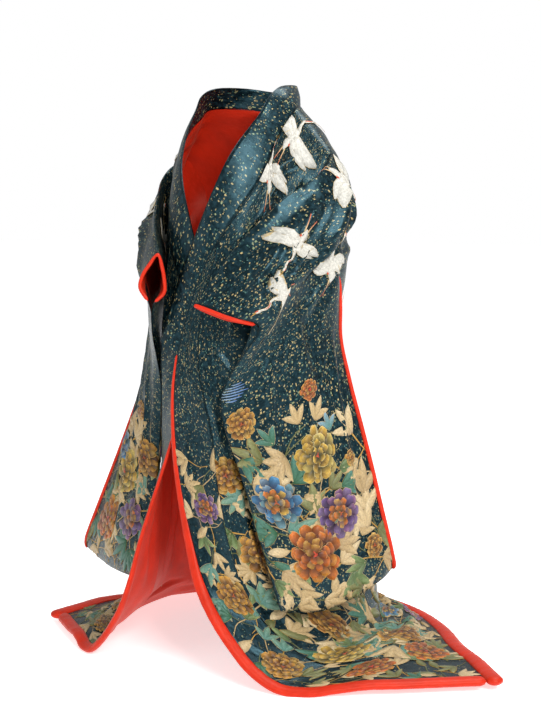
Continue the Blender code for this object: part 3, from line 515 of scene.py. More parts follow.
def collar_half(half):
    """Seam places from the collar end up the front and round to the nape."""
    stations = []
    for down in [d for d in BODY_LEVELS if d <= COLLAR_END + SAME][::-1]:
        face = "front" if down < OKUMI_TOP - SAME else "okumi"
        levels, points, normals = PIECES[half, face]
        row = levels.index(down)
        stations.append((points[row][0], line(COLLAR_EDGE, TABLES[half][2], down), normals[row], 0))
    for down in ARM_LEVELS[1:3]:
        levels, points, normals = PIECES[half, "back"]
        row = levels.index(down)
        stations.append((points[row][-1], line(COLLAR_EDGE, TABLES[half][2], -down), normals[row], -1))
    return stations


def collar_grid(cols=3, bulge=0.004):
    """Points and directions of the collar band, seam edge first."""
    stations = collar_half("left") + collar_half("right")[:-1][::-1]
    points, normals = [], []
    for k, (seam, free, panel, column) in enumerate(stations):
        before, after = stations[max(k - 1, 0)], stations[min(k + 1, len(stations) - 1)]
        along = unit(after[0] + after[1] - before[0] - before[1])
        own = unit(np.cross(along, unit(free - seam)))
        points.append([seam + (free - seam) * c / cols + own * bulge * math.sin(math.pi * c / cols)
                       for c in range(cols + 1)])
        normals.append([unit(own + panel[column])] + [own] * cols)
    mitres = [row[0] for row in normals]
    for k, (_, _, panel, column) in enumerate(stations):
        eased = unit(mitres[max(k - 1, 0)] + mitres[k] * 2 + mitres[min(k + 1, len(mitres) - 1)])
        normals[k][0] = panel[column] = eased
    nape = normals[len(collar_half("left")) - 1][0]
    for half in HALVES:
        PIECES[half, "back"][2][ARM_LEVELS.index(NAPE)][-1] = nape
    return points, normals


SLEEVE_TABLES = {"left": (LEFT_SLEEVE_OUT, LEFT_SLEEVE_IN), "right": (RIGHT_SLEEVE_OUT, RIGHT_SLEEVE_IN)}


def sleeve_point(half, layer, s, down):
    """A point of a sleeve, s running from the armhole edge (0) to the cuff (1)."""
    outs, ins = SLEEVE_TABLES[half]
    mids, gaps = [], []
    for k in range(len(SLEEVE_STATIONS)):
        if k == 0 and down <= ARMHOLE + SAME:
            one, two = cloth(half, "back", 0.0, down), cloth(half, "front", 1.0, down)
            spread = (one - two) / 2
        else:
            one, two = line(outs, k + 1, down), line(ins, k + 1, down)
            spread = (one - two) / 2
            if down < TOP_FOLD:
                spread = (line(outs, k + 1, TOP_FOLD) - line(ins, k + 1, TOP_FOLD)) / 2
                spread = spread * (down / TOP_FOLD) ** 0.7
        if down > SLEEVE_DROP - FOOT_FOLD:
            x = (down - SLEEVE_DROP + FOOT_FOLD) / FOOT_FOLD
            spread = spread * math.sqrt(max(1 - x * x, 0.0))
        mids.append((one + two) / 2)
        gaps.append(spread)
    mid, gap = spline(SLEEVE_STATIONS, mids, s), spline(SLEEVE_STATIONS, gaps, s)
    x = max((s - 1 + FRONT_FOLD) / FRONT_FOLD, 0.0)
    closed = ease((down - ARMHOLE + CUFF_FOLD) / CUFF_FOLD)
    gap = gap * (1 - closed + closed * math.sqrt(max(1 - x * x, 0.0)))
    return mid + gap if layer == "out" else mid - gap


SLEEVE_ORDER = [("out", d) for d in SLEEVE_LEVELS] + [("in", d) for d in SLEEVE_LEVELS[::-1][1:]]
FOOT_ROW = len(SLEEVE_LEVELS) - 1


def sleeve_grid(half):
    """Points and directions right round a sleeve, down the outer layer and up the inner."""
    points = [[sleeve_point(half, layer, s, d) for s in SLEEVE_STEPS] for layer, d in SLEEVE_ORDER]
    normals = grid_normals(points, FOOT_ROW, FOLD_REACH)
    middle = FOOT_ROW // 2
    if np.dot(normals[middle][3], points[middle][3] - points[-1 - middle][3]) < 0:
        normals = [[-n for n in row] for row in normals]
    for r, (layer, down) in enumerate(SLEEVE_ORDER):
        if down < ARMHOLE + SAME:
            levels, _, panel = PIECES[half, "back" if layer == "out" else "front"]
            row, column = levels.index(down), 0 if layer == "out" else -1
            normals[r][0] = panel[row][column] = unit(panel[row][column] + unit(normals[r][0]))
    return points, normals


def share(one, col_one, two, col_two, first):
    """Give two panels the same direction along their common seam, from a level down."""
    levels_one, _, n_one = PIECES[one]
    levels_two, _, n_two = PIECES[two]
    for i, down in enumerate(levels_one):
        if down >= first - SAME and down in levels_two:
            j = levels_two.index(down)
            n_one[i][col_one] = n_two[j][col_two] = unit(n_one[i][col_one] + n_two[j][col_two])


def lay_out():
    """Work out every coarse grid, with the directions shared along the seams."""
    panel_grids()
    for half in HALVES:
        share((half, "front"), 0, (half, "okumi"), -1, OKUMI_TOP)
        share((half, "front"), -1, (half, "back"), 0, SIDE_SLIT)
        front_n, back_n = PIECES[half, "front"][2], PIECES[half, "back"][2]
        for c in range(PANEL_COLS + 1):
            top = unit(front_n[0][c] + back_n[0][PANEL_COLS - c])
            front_n[0][c] = back_n[0][PANEL_COLS - c] = top
    share(("left", "back"), -1, ("right", "back"), -1, NAPE)
    SLEEVES.update({half: sleeve_grid(half) for half in HALVES})
    COLLAR["grid"] = collar_grid()
    for half in HALVES:
        front_n, back_n, okumi_n = (PIECES[half, face][2] for face in ("front", "back", "okumi"))
        back_n[0][-1] = front_n[0][0]
        back_n[0][0] = front_n[0][-1] = SLEEVES[half][1][0][0]
        SLEEVES[half][1][-1][0] = SLEEVES[half][1][0][0]
        okumi_n[0] = [okumi_n[0][0]] * (OKUMI_COLS + 1)
        front_n[BODY_LEVELS.index(OKUMI_TOP)][0] = okumi_n[0][0]


def front_roll(half):
    """Padded edge down the front of one side, growing toward the hem."""
    levels, points, normals = PIECES[half, "okumi"]
    rows = [k for k, down in enumerate(levels) if down > COLLAR_END - SAME]
    sizes = [line([(d, np.array(l), np.array(r)) for d, l, r in FRONT_ROLL], TABLES[half][2], levels[k])
             for k in rows]
    sections = edge_sections([points[k][0] for k in rows], [points[k][1] for k in rows],
                             [normals[k][0] for k in rows], sizes)
    first, second = sections[0], sections[1]
    start = first[0] + unit(second[0] - first[0]) * ROLL_START
    # its foot is cut along the hem roll
    corner, beside_it = points[-1][0], points[-1][1]
    out, (width, depth) = unit(corner - beside_it), sizes[-1]
    up = unit(np.array([0.0, 0.0, 1.0]) - out * out[2])
    back = unit(sections[-1][0] - sections[-2][0]) * GAP * 2
    end = corner + out * (width / 2 + GAP) - up * (CLOTH + GAP + LINING) / 2 - back
    return [(start, *first[1:])] + sections[1:-1] + [(end, width, depth, out, up)]


def hem_roll():
    """Padded hem from the left front corner round the back to the right front corner."""
    edge, inside, normals = [], [], []
    for half, face, order in (("left", "okumi", 1), ("left", "front", 1), ("left", "back", 1),
                              ("right", "back", -1), ("right", "front", -1), ("right", "okumi", -1)):
        _, points, directions = PIECES[half, face]
        joined = slice(1 if edge else 0, None)
        edge += points[-1][::order][joined]
        inside += points[-2][::order][joined]
        normals += directions[-1][::order][joined]
    reach = {0: FRONT_ROLL[-1][1][0], -1: FRONT_ROLL[-1][2][0]}
    for end, step in ((0, 1), (-1, -2)):
        out = unit(edge[end] - edge[step])
        more = out * (reach[end] + GAP)
        for row in (edge, inside):
            row.insert(0 if end == 0 else len(row), row[end] + more)
        normals.insert(0 if end == 0 else len(normals), normals[end])
    return edge_sections(edge, inside, normals, [HEM_ROLL] * len(edge))


def cuff_roll(half):
    """Red roll round a cuff, from near its lower corner over the top fold and back."""
    points, normals = SLEEVES[half]
    corner, last = SLEEVE_LEVELS.index(ARMHOLE), len(SLEEVE_STEPS) - 1
    rows = list(range(corner - 1, -1, -1)) + list(range(len(points) - 2, len(points) - 1 - corner, -1))
    return edge_sections([points[r][last] for r in rows], [points[r][last - 1] for r in rows],
                         [normals[r][last] for r in rows], [(2 * CUFF_RADIUS, 2 * CUFF_RADIUS)] * len(rows))


def furi_roll(half):
    """Red roll down a sleeve's open edge, round its foot and up the other layer."""
    points, normals = SLEEVES[half]
    rows = [k for k, (_, down) in enumerate(SLEEVE_ORDER) if down > ARMHOLE + SAME]
    return edge_sections([points[k][0] for k in rows], [points[k][1] for k in rows],
                         [normals[k][0] for k in rows], [(2 * FURI_RADIUS, 2 * FURI_RADIUS)] * len(rows))


# ---------------------------------------------------------------- finer cloth
LOWER = np.array([0.0, 0.0, HOLD_HEIGHT])
FLAT_SLEEVE = 0.43       # sleeve cut, armhole seam to cuff
TURNING = 0.0008         # each piece reaches this far under its neighbour at a seam
BED = 0.0006             # lowest embroidery above the cloth
LAYER = 0.00028          # between two layers of embroidery
PART_STEP = 0.12         # share of a layer between parts that share an outline
THREAD = 0.0005          # thickness of an embroidered stroke
RUNS = 5                 # steps along each embroidered stroke
ROLL_SIDES = 18          # points round a padded roll
GATHERS = 6              # waves that make up its puckers
GIRTH = 2.6              # way round it, for a thickness of 1
PLUMP_EDGE = 1.4         # the open sleeve edges are drawn fuller than their solids
# over this width beside a seam its finish paints shade in the seam's groove, a dark line in the ground colour
SEAM_REACH = 0.010       # width beside a seam that its finish can darken
COLLAR_BAND = 0.065      # finished width of the collar, flat
COLLAR_COLS = 8          # points across it
FLECK_SHIFT = 0.83       # so that no two pieces carry the same flecks
WELD = 2e-5              # points of a cloth nearer than this are one
TOUCH = 1e-6             # and so are any two points nearer than this
SHARP = math.radians(60)   # an edge bent more than this is drawn sharp
FINE = {}


def weights(knots, places, corners=()):
    """How much each coarse row counts at finer places along a spline that may have corners."""
    knots = np.asarray(knots, float)
    table = np.zeros((len(places), len(knots)))
    ends = [knots[0], *[c for c in corners if knots[0] < c < knots[-1]], knots[-1]]
    for low, high in zip(ends, ends[1:]):
        inside = np.flatnonzero((knots >= low - SAME) & (knots <= high + SAME))
        eye = np.eye(len(inside))
        for i, place in enumerate(places):
            if low - SAME <= place <= high + SAME:
                table[i] = 0.0
                table[i, inside] = spline(knots[inside], eye, place)
    return table


def between(stops, step):
    """Places from the first stop to the last, evenly spaced between one stop and the next."""
    places = [stops[0]]
    for low, high in zip(stops, stops[1:]):
        count = max(round(abs(high - low) / step), 1)
        places += [low + (high - low) * (k + 1) / count for k in range(count)]
    return np.array(places)


def finer(points, normals, knots, rows, corners, steps, columns):
    """Carry a coarse grid and its directions to finer rows and columns."""
    across, plain = weights(steps, columns), weights(knots, rows)
    made = []
    for grid in (np.array(points), np.array(normals)):
        down = [(weights(knots, rows, corners[c]) if c in corners else plain) @ grid[:, c]
                for c in range(len(steps))]
        made.append(np.einsum("fc,rcx->rfx", across, np.stack(down, axis=1)))
    return made[0], made[1] / np.linalg.norm(made[1], axis=2, keepdims=True)


def crease_height(u, v, creases):
    """Height of soft creases over a cut, each a ridge with a trough beside it."""
    height = np.zeros_like(u)
    for u0, v0, u1, v1, bow, half, depth in creases:
        length = math.hypot(u1 - u0, v1 - v0)
        du, dv = (u1 - u0) / length, (v1 - v0) / length
        along = ((u - u0) * du + (v - v0) * dv) / length
        off = ((v - v0) * du - (u - u0) * dv) - bow * 4 * along * (1 - along)
        taper = ease(along / 0.30) * ease((1 - along) / 0.38)
        width = half * (0.75 + 0.5 * np.clip(along, 0, 1))
        ridge = np.exp(-(off / width) ** 2)
        trough = np.exp(-((off - 1.55 * width) / (0.85 * width)) ** 2)
        height += depth * taper * (ridge - 0.55 * trough)
    return height


def unevenness(u, v, shift):
    """Slight waviness that all hanging silk has."""
    a = np.sin(u * 31 + 1.3 * np.sin(v * 17 + shift) + shift)
    b = np.sin(v * 23 + 1.7 * np.sin(u * 19 + shift * 2) + shift * 3)
    return 0.0011 * a * b + 0.0006 * np.sin(u * 57 + v * 41 + shift)


def collar_knots():
    """Places along the collar from the left end up over the neck and down to the right end."""
    fronts = [d for d in BODY_LEVELS if d <= COLLAR_END + SAME][::-1]
    knots = [-d for d in fronts] + [0.05, NAPE]
    return knots + [2 * NAPE - k for k in knots[:-1][::-1]]


def collar_seam(half):
    """Knots, points and directions of the collar's seam on one half, from nape to collar end."""
    points, normals = (grid[::-1] if half == "right" else grid for grid in COLLAR["grid"])
    return collar_knots(), [row[0] for row in points], [row[0] for row in normals]


def follow_collar(half, p, n, rows, column, low, high):
    """Lay a piece's edge exactly along the collar's seam between two levels."""
    knots, points, normals = collar_seam(half)
    for i, v in enumerate(rows):
        if low - SAME <= v <= high + SAME:
            table = weights(knots, [-v])[0]
            p[i, column], n[i, column] = table @ np.array(points), unit(table @ np.array(normals))


def fine_cloth(key, points, normals, knots, rows, corners, steps, columns, width, flecks, collared=None):
    """Keep a piece's finer grid, with its place in the cut and its creases laid in."""
    p, n = finer(points, normals, knots, rows, corners, steps, columns)
    if collared:
        follow_collar(key[1], p, n, rows, *collared)
    for edge, inside in ((0, 1), (-1, -2)):
        out = p[:, edge] - p[:, inside]
        p[:, edge] += out / np.linalg.norm(out, axis=1, keepdims=True) * TURNING
    u, v = np.meshgrid(columns * width, rows)
    depth = bpy.context.scene.uchikake.crease_depth
    edge = ease(np.minimum(u, width - u) / 0.030)
    high = crease_height(u, v, CREASES.get(key, ())) * depth + unevenness(u, v, len(FINE) * 0.9)
    upright = ease((p[..., 2] - 0.012) / 0.05)
    p = p + n * (high * edge * (0.35 + 0.65 * upright))[..., None]
    FINE[key] = {"points": p - LOWER, "normals": n, "rows": rows, "columns": columns,
                 "width": width, "uv": np.stack([u, v], axis=2), "flecks": flecks(u, v)}


def fine_body(half, step):
    """The long cut of a front and a back: v runs from the back hem over the shoulder to the front."""
    levels, front_p, front_n = PIECES[half, "front"]
    _, back_p, back_n = PIECES[half, "back"]
    points = back_p[::-1] + [row[::-1] for row in front_p[1:]]
    normals = back_n[::-1] + [row[::-1] for row in front_n[1:]]
    knots = [-d for d in levels[::-1]] + levels[1:]
    stops = [0.0, NAPE, ARMHOLE, OKUMI_TOP, COLLAR_END, TRAIN_TOP, LENGTH]
    down = between(stops, step)
    rows = np.concatenate([-down[::-1], down[1:]])
    corners = {0: (-SIDE_SLIT, -ARMHOLE, ARMHOLE, SIDE_SLIT), PANEL_COLS: (-NAPE, OKUMI_TOP)}
    steps = [c / PANEL_COLS for c in range(PANEL_COLS + 1)]
    columns = np.linspace(0, 1, round(BACK_WIDTH / step) + 1)
    fine_cloth(("body", half), points, normals, knots, rows, corners, steps, columns, BACK_WIDTH,
               lambda u, v: 0.30 + 0.70 * ease((1.25 - np.abs(v)) / 0.6), (-1, -NAPE, OKUMI_TOP))


def fine_overlap(half, step):
    """An overlap panel: v runs down from its point at the collar."""
    levels, points, normals = PIECES[half, "okumi"]
    rows = between([OKUMI_TOP, COLLAR_END, TRAIN_TOP, LENGTH], step)
    steps = [c / OKUMI_COLS for c in range(OKUMI_COLS + 1)]
    columns = np.linspace(0, 1, round(OKUMI_WIDTH / step) + 1)
    fine_cloth(("overlap", half), points, normals, levels, rows, {}, steps, columns, OKUMI_WIDTH,
               lambda u, v: 0.18 + 0.82 * ease((1.15 - v) / 0.5), (0, OKUMI_TOP, COLLAR_END))


def fine_sleeve(half, step):
    """A sleeve right round: v runs down the layer that faces out, then up the other."""
    points, normals = SLEEVES[half]
    knots = [d if layer == "out" else 2 * SLEEVE_DROP - d for layer, d in SLEEVE_ORDER]
    turn, more = 2 * SLEEVE_DROP, len(ARM_LEVELS)
    knots = [k - turn for k in knots[-1 - more:-1]] + knots + [k + turn for k in knots[1:1 + more]]
    points = points[-1 - more:-1] + points + points[1:1 + more]
    normals = normals[-1 - more:-1] + normals + normals[1:1 + more]
    down = between([0.0, ARMHOLE, 0.55, 0.895, SLEEVE_DROP], step)
    rows = np.concatenate([down, turn - down[-2::-1]])
    corners = {0: (ARMHOLE, turn - ARMHOLE)}
    columns = np.linspace(0, 1, round(FLAT_SLEEVE / step) + 1)
    fine_cloth(("sleeve", half), points, normals, knots, rows, corners, SLEEVE_STEPS, columns,
               FLAT_SLEEVE, lambda u, v: np.ones_like(u))


def fine_collar(step):
    """The collar band: v runs from its left end over the neck to its right end."""
    points, normals = COLLAR["grid"]
    knots = collar_knots()
    rows = between([knots[0], -OKUMI_TOP, 0.0, NAPE, 2 * NAPE, 2 * NAPE + OKUMI_TOP, knots[-1]], step)
    columns = np.linspace(0, 1, COLLAR_COLS)
    fine_cloth(("collar", ""), points, normals, knots, rows, {}, [0, 1 / 3, 2 / 3, 1], columns,
               COLLAR_BAND, lambda u, v: 0.9 + 0 * u)


# Creases, in millimetres: from (u, v) to (u, v) in the cut, bow to one side, half width, depth.
# On a body u runs from the side edge (0) to the centre (0.34), and v is negative on the
# back.  On a sleeve u runs from the armhole to the cuff, and v down one layer, up the other.
CREASES = {key: numbers(text) for key, text in {
    ("body", "left"): """
150 120 275 570 -12 20 -8.5
60 100 270 340 15 16 7.5
100 60 300 220 10 14 6
40 280 240 600 -15 18 8
120 500 300 950 20 20 8
50 700 160 1300 12 22 6
220 800 250 1450 -12 20 5
300 600 100 740 12 14 3.5
60 1280 300 1420 18 18 5
30 1500 280 1620 -14 20 5
100 1700 320 1780 12 18 4
50 -120 240 -300 -14 16 4.5
80 -320 300 -460 12 18 4.5
100 -460 240 -950 16 20 5.5
200 -620 160 -1250 -16 21 6
300 -700 270 -1400 10 20 5
50 -900 80 -1450 14 20 5.5
40 -1360 310 -1440 -16 18 5
60 -1550 300 -1660 16 20 5
120 -1720 330 -1800 -10 16 4""",
    ("body", "right"): """
150 130 265 540 -12 19 -8
50 120 260 300 12 15 7.5
120 50 310 240 -10 14 6
50 340 200 700 15 18 8
140 480 280 980 -18 20 8
70 760 140 1350 -12 22 6
240 720 220 1400 12 20 5
40 1320 300 1440 -16 18 5
50 1560 270 1680 14 20 5
60 -100 260 -260 -14 16 4.5
60 -300 280 -500 -12 18 4.5
90 -500 220 -1000 -14 20 5.5
210 -580 170 -1200 14 21 6
310 -760 280 -1440 -10 20 5
60 -950 70 -1500 -12 20 5.5
50 -1400 300 -1480 14 18 5
50 -1600 310 -1700 -16 20 5""",
    ("overlap", "left"): """
30 460 130 660 6 12 3
30 800 120 1200 10 16 4
20 1300 140 1420 8 14 4
30 1550 140 1660 -8 15 3.5""",
    ("overlap", "right"): """
30 500 130 720 -6 12 3
40 850 110 1250 -10 16 4
20 1340 140 1460 -8 14 4
30 1600 140 1700 8 15 3.5""",
    ("sleeve", "left"): """
50 8 420 12 4 13 4.8
250 135 420 175 6 13 6
30 20 200 210 12 16 12
10 90 280 270 16 17 12.5
100 20 330 140 12 14 10
170 50 410 160 -10 13 8.5
300 70 410 220 -12 13 7.5
200 130 380 250 10 13 8.5
40 220 220 400 -14 16 9.5
280 260 180 600 14 18 7
80 400 120 900 12 20 6.5
200 520 240 960 -12 19 6
320 360 330 920 14 18 5.5
380 500 400 900 6 12 3
60 1960 240 1780 12 14 5
60 1760 240 1600 14 16 4.5
100 1620 120 1100 -12 20 5.5
220 1600 240 1060 12 20 5.5
330 1620 340 1140 -10 16 4.5""",
    ("sleeve", "right"): """
60 8 420 12 4 13 4.5
240 130 410 165 -5 13 5.5
40 30 220 200 12 15 11
20 110 260 260 14 16 11.5
120 20 340 140 -10 13 9
200 60 400 170 -12 13 8
60 280 200 460 12 16 5.5
260 320 170 660 -14 18 5.5
70 440 110 920 -12 20 6.5
210 560 230 950 12 19 6
310 400 340 930 -12 18 5.5
50 1960 220 1800 -12 14 5
70 1720 250 1580 12 16 4.5
110 1600 100 1080 12 20 5.5
210 1620 230 1050 -12 20 5.5
320 1600 340 1120 10 16 4.5""",
}.items()}


def piece_of(bm, name, finish_name):
    """An object with a finished mesh and its material, riding on the one body."""
    for layer in list(bm.verts.layers.int):
        bm.verts.layers.int.remove(layer)
    mesh = bpy.data.meshes.new(name)
    bm.to_mesh(mesh)
    bm.free()
    mesh.shade_smooth()
    mesh.materials.append(finish_of(finish_name))
    obj = bpy.data.objects.new(name, mesh)
    bpy.context.scene.collection.objects.link(obj)
    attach(obj, "root")
    return obj


def cloth_piece(node, key, near, thick, finish_name, keep=None):
    """Put a finer cloth in the place of a solid: a wall between two depths under its grid.

    The wall has the cut as a UV map, and tells its finish where flecks and seams are."""
    grid, name = FINE[key], "cloth_" + node
    rows, cols = grid["points"].shape[:2]
    bm, tag = tagged_grid(rows, cols)
    uv = bm.loops.layers.uv.new("cut")
    flecks, seam = bm.verts.layers.float.new("flecks"), bm.verts.layers.float.new("seam")
    if keep:
        gone = [f for f in bm.faces if not keep(min(v[tag] // cols for v in f.verts),
                                                min(v[tag] % cols for v in f.verts))]
        bmesh.ops.delete(bm, geom=gone, context="FACES")
    flat = grid["uv"].reshape(-1, 2)
    apart = flat + (FLECK_SHIFT * len(name), 0)
    for corner in (corner for face in bm.faces for corner in face.loops):
        corner[uv].uv = apart[corner.vert[tag]]
    dense = grid["flecks"].reshape(-1)
    aside = np.clip(np.minimum(flat[:, 0], grid["width"] - flat[:, 0]) / SEAM_REACH, 0, 1)
    outer, inner = ((grid["points"] - grid["normals"] * deep).reshape(-1, 3)
                    for deep in (near, near + thick))
    for v in bm.verts:
        v.co = outer[v[tag]]
        v[flecks], v[seam] = dense[v[tag]], aside[v[tag]]
    bmesh.ops.remove_doubles(bm, verts=bm.verts[:], dist=WELD)
    done = bmesh.ops.extrude_face_region(bm, geom=bm.faces[:], use_keep_orig=True)
    for v in (g for g in done["geom"] if isinstance(g, bmesh.types.BMVert)):
        v.co = inner[v[tag]]
    bmesh.ops.recalc_face_normals(bm, faces=bm.faces[:])
    obj = piece_of(bm, name, finish_name)
    obj.data.set_sharp_from_angle(angle=SHARP)
    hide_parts(node)


def padded_roll(name, node, sections, puckers, plump=1.0):
    """A padded silk roll along its sections, softly gathered across."""
    centres = np.array([s[0] for s in sections])
    chords = np.concatenate([[0.0], np.cumsum(np.linalg.norm(np.diff(centres, axis=0), axis=1))])
    places = between(list(chords), bpy.context.scene.uchikake.roll_step)
    table = weights(chords, places)
    centre, outs, ups = (table @ np.array([s[k] for s in sections]) for k in (0, 3, 4))
    size = table @ np.array([(s[1], s[2]) for s in sections]) * plump
    sides, rows = ROLL_SIDES, len(places)
    rng = np.random.default_rng(len(name) * 7 + rows)
    ends = np.minimum(places - places[0], places[-1] - places) / (size[:, 1] * 0.9)
    full = np.sqrt(np.clip(1 - (1 - np.clip(ends, 0, 1)) ** 2, 0.03, 1))
    bm, tag = tagged_grid(rows, sides + 1)
    uv = bm.loops.layers.uv.new("cut")
    for corner in (corner for face in bm.faces for corner in face.loops):
        r, c = divmod(corner.vert[tag], sides + 1)
        corner[uv].uv = (c / sides * GIRTH * size[r][1], places[r])
    phases = rng.uniform(0, 2 * math.pi, GATHERS)
    spans = rng.uniform(0.012, 0.045, GATHERS)
    for v in bm.verts:
        r, c = divmod(v[tag], sides + 1)
        turn = 2 * math.pi * (c % sides) / sides
        pull = sum(math.sin(2 * math.pi * places[r] / spans[k] + phases[k] + 1.2 * math.sin(turn + k))
                   for k in range(GATHERS)) / GATHERS
        swell = full[r] * (1 + puckers * pull)
        v.co = (centre[r] - LOWER + unit(outs[r]) * (size[r][0] / 2 * swell * math.cos(turn))
                + unit(ups[r]) * (size[r][1] / 2 * swell * math.sin(turn)))
    bmesh.ops.remove_doubles(bm, verts=bm.verts[:], dist=TOUCH)
    bmesh.ops.holes_fill(bm, edges=[e for e in bm.edges if e.is_boundary], sides=0)
    bmesh.ops.recalc_face_normals(bm, faces=bm.faces[:])
    obj = piece_of(bm, name, "wadded_silk")
    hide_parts(node)


UNLINED_FOOT = 0.94      # level past which a sleeve has no lining
UNLINED_CUFF = 0.81      # place across past which its closed fold has none


def lined(half):
    """Tells where a sleeve has lining."""
    rows, columns = FINE["sleeve", half]["rows"], FINE["sleeve", half]["columns"]

    def keep(r, c):
        down = min(rows[r], 2 * SLEEVE_DROP - rows[min(r + 1, len(rows) - 1)])
        foot = UNLINED_FOOT < rows[r] < 2 * SLEEVE_DROP - UNLINED_FOOT
        return not foot and (down <= ARMHOLE - 0.05 or columns[c] <= UNLINED_CUFF)

    return keep


# ---------------------------------------------------------------- embroidery
CREAM, WHITE, BEIGE = (0.80, 0.62, 0.33), (0.82, 0.79, 0.70), (0.60, 0.42, 0.19)
GOLD, BROWN, OLIVE = (0.62, 0.34, 0.06), (0.34, 0.15, 0.04), (0.15, 0.16, 0.05)
GREEN, SEA, SKY = (0.04, 0.15, 0.07), (0.10, 0.27, 0.22), (0.33, 0.48, 0.60)
BLUE, PURPLE, MAUVE = (0.07, 0.17, 0.42), (0.13, 0.035, 0.17), (0.36, 0.16, 0.34)
ORANGE, RUST, YELLOW = (0.85, 0.22, 0.03), (0.50, 0.10, 0.02), (0.85, 0.52, 0.08)
CORAL, AMBER, PALE = (0.80, 0.12, 0.04), (0.82, 0.40, 0.06), (0.70, 0.69, 0.62)

EVEN, DEEP_PETALS = 1.2, 2.4     # how late a stroke turns from its first tone to its last


class Strokes:
    """Embroidered strokes on one cloth, kept as places in the cut until they are made."""

    def __init__(self, key):
        self.grid = FINE[key]
        self.tube = key[0] == "sleeve"
        self.flat, self.lifts, self.tints, self.threads = [], [], [], []
        self.deepen = EVEN

    def surface(self, s, v):
        """Points and directions of the cloth at places given in columns and rows."""
        rows, columns = self.grid["rows"], self.grid["columns"]
        if self.tube:
            v = np.mod(v, rows[-1])
        r = np.interp(v, rows, np.arange(len(rows)))
        c = np.interp(s, columns, np.arange(len(columns)))
        r0, c0 = np.minimum(r.astype(int), len(rows) - 2), np.minimum(c.astype(int), len(columns) - 2)
        fr, fc = (r - r0)[..., None], (c - c0)[..., None]
        return [(g[r0, c0] * (1 - fr) * (1 - fc) + g[r0, c0 + 1] * (1 - fr) * fc
                 + g[r0 + 1, c0] * fr * (1 - fc) + g[r0 + 1, c0 + 1] * fr * fc)
                for g in (self.grid["points"], self.grid["normals"])]

    def spread(self, s, v):
        """Metres on the cloth for one unit across and one unit along the cut, near a place."""
        e = 0.02
        low, high = max(s - e, 0.0), min(s + e, 1.0)
        a, b = self.surface(np.array([low, high]), np.array([v, v]))[0]
        c, d = self.surface(np.array([s, s]), np.array([v - e, v + e]))[0]
        return max(np.linalg.norm(b - a) / (high - low), 0.12), max(np.linalg.norm(d - c) / (2 * e), 0.5)

    def stroke(self, frame, spine, widths, base, tip, layer):
        """One stroke: a bent line with a half width at each step, dark or light toward its tip."""
        (s, v), angle, size, (wide, tall) = frame
        t = np.linspace(0, 1, RUNS + 1)
        knots = np.linspace(0, 1, len(spine))
        if len(spine) > 2:
            line_xy = np.array([spline(knots, spine, x) for x in t])
        else:
            line_xy = np.array([np.interp(t, knots, [p[k] for p in spine]) for k in (0, 1)]).T
        half = np.interp(t, np.linspace(0, 1, len(widths)), widths)
        run = np.gradient(line_xy, axis=0)
        run /= np.maximum(np.linalg.norm(run, axis=1, keepdims=True), 1e-9)
        side = np.stack([-run[:, 1], run[:, 0]], axis=1)
        across = half[:, None] * np.array([-1, 0, 1])
        xy = line_xy[:, None] + side[:, None] * across[..., None]
        cos, sin = math.cos(angle), math.sin(angle)
        x = (xy[..., 0] * cos - xy[..., 1] * sin) * size
        y = (xy[..., 0] * sin + xy[..., 1] * cos) * size
        places = np.stack([np.clip(s + x / wide, 0.004, 0.996), v + y / tall], axis=2)
        crown = np.array([0.0, 1.0, 0.0]) * np.minimum(half * size * 0.10, 0.0007)[:, None]
        self.flat.append(places)
        self.lifts.append(BED + layer * LAYER + crown)
        mix = t[:, None, None] ** self.deepen
        self.tints.append(np.broadcast_to(np.array(base) * (1 - mix) + np.array(tip) * mix,
                                          (RUNS + 1, 3, 3)))
        length = np.concatenate([[0], np.cumsum(np.linalg.norm(np.diff(line_xy, axis=0), axis=1))])
        self.threads.append(np.stack([across * size, np.repeat(length[:, None] * size, 3, axis=1)], axis=2))

    def outlined(self, frame, parts, layer, edge, rim=0.0006):
        """Several strokes that share one couched outline; a part is (spine, widths, base, tip)."""
        more = rim / frame[2]
        for k, (spine, widths, _, _) in enumerate(parts):
            last = np.array(spine[-1])
            longer = spine[:-1] + [tuple(last + unit(last - np.array(spine[-2])) * more)]
            self.stroke(frame, longer, [w + more for w in widths], edge, edge, layer + PART_STEP * k)
        for k, (spine, widths, base, tip) in enumerate(parts):
            self.stroke(frame, spine, widths, base, tip, layer + 1 + PART_STEP * k)

    def at(self, s, v, angle, size):
        """The frame of a figure: its place, turn, size and the scale of the cloth there."""
        return (s, v), angle, size, self.spread(s, v)

    def make(self, name):
        """One mesh of all the strokes, with a thin wall."""
        bm, tag = tagged_grid((RUNS + 1) * len(self.flat), 3)
        joins = [f for f in bm.faces if min(v[tag] // 3 for v in f.verts) % (RUNS + 1) == RUNS]
        bmesh.ops.delete(bm, geom=joins, context="FACES_ONLY")
        flat = np.concatenate(self.flat).reshape(-1, 2)
        points, normals = self.surface(flat[:, 0], flat[:, 1])
        points = points + normals * np.concatenate(self.lifts).reshape(-1, 1)
        tints = np.concatenate(self.tints).reshape(-1, 3)
        threads = np.concatenate(self.threads).reshape(-1, 2)
        uv, tint = bm.loops.layers.uv.new("threads"), bm.verts.layers.float_color.new("tint")
        for v in bm.verts:
            v.co = points[v[tag]]
            v[tint] = (*tints[v[tag]], 1.0)
        for corner in (corner for face in bm.faces for corner in face.loops):
            corner[uv].uv = threads[corner.vert[tag]]
        bm.normal_update()
        for face in bm.faces:
            if face.normal.dot(normals[face.verts[0][tag]]) < 0:
                face.normal_flip()
        bmesh.ops.delete(bm, geom=[e for e in bm.edges if not e.link_faces], context="EDGES")
        wall = piece_of(bm, name, "silk_floss").modifiers.new("thread", "SOLIDIFY")
        wall.thickness, wall.offset = THREAD, -1.0


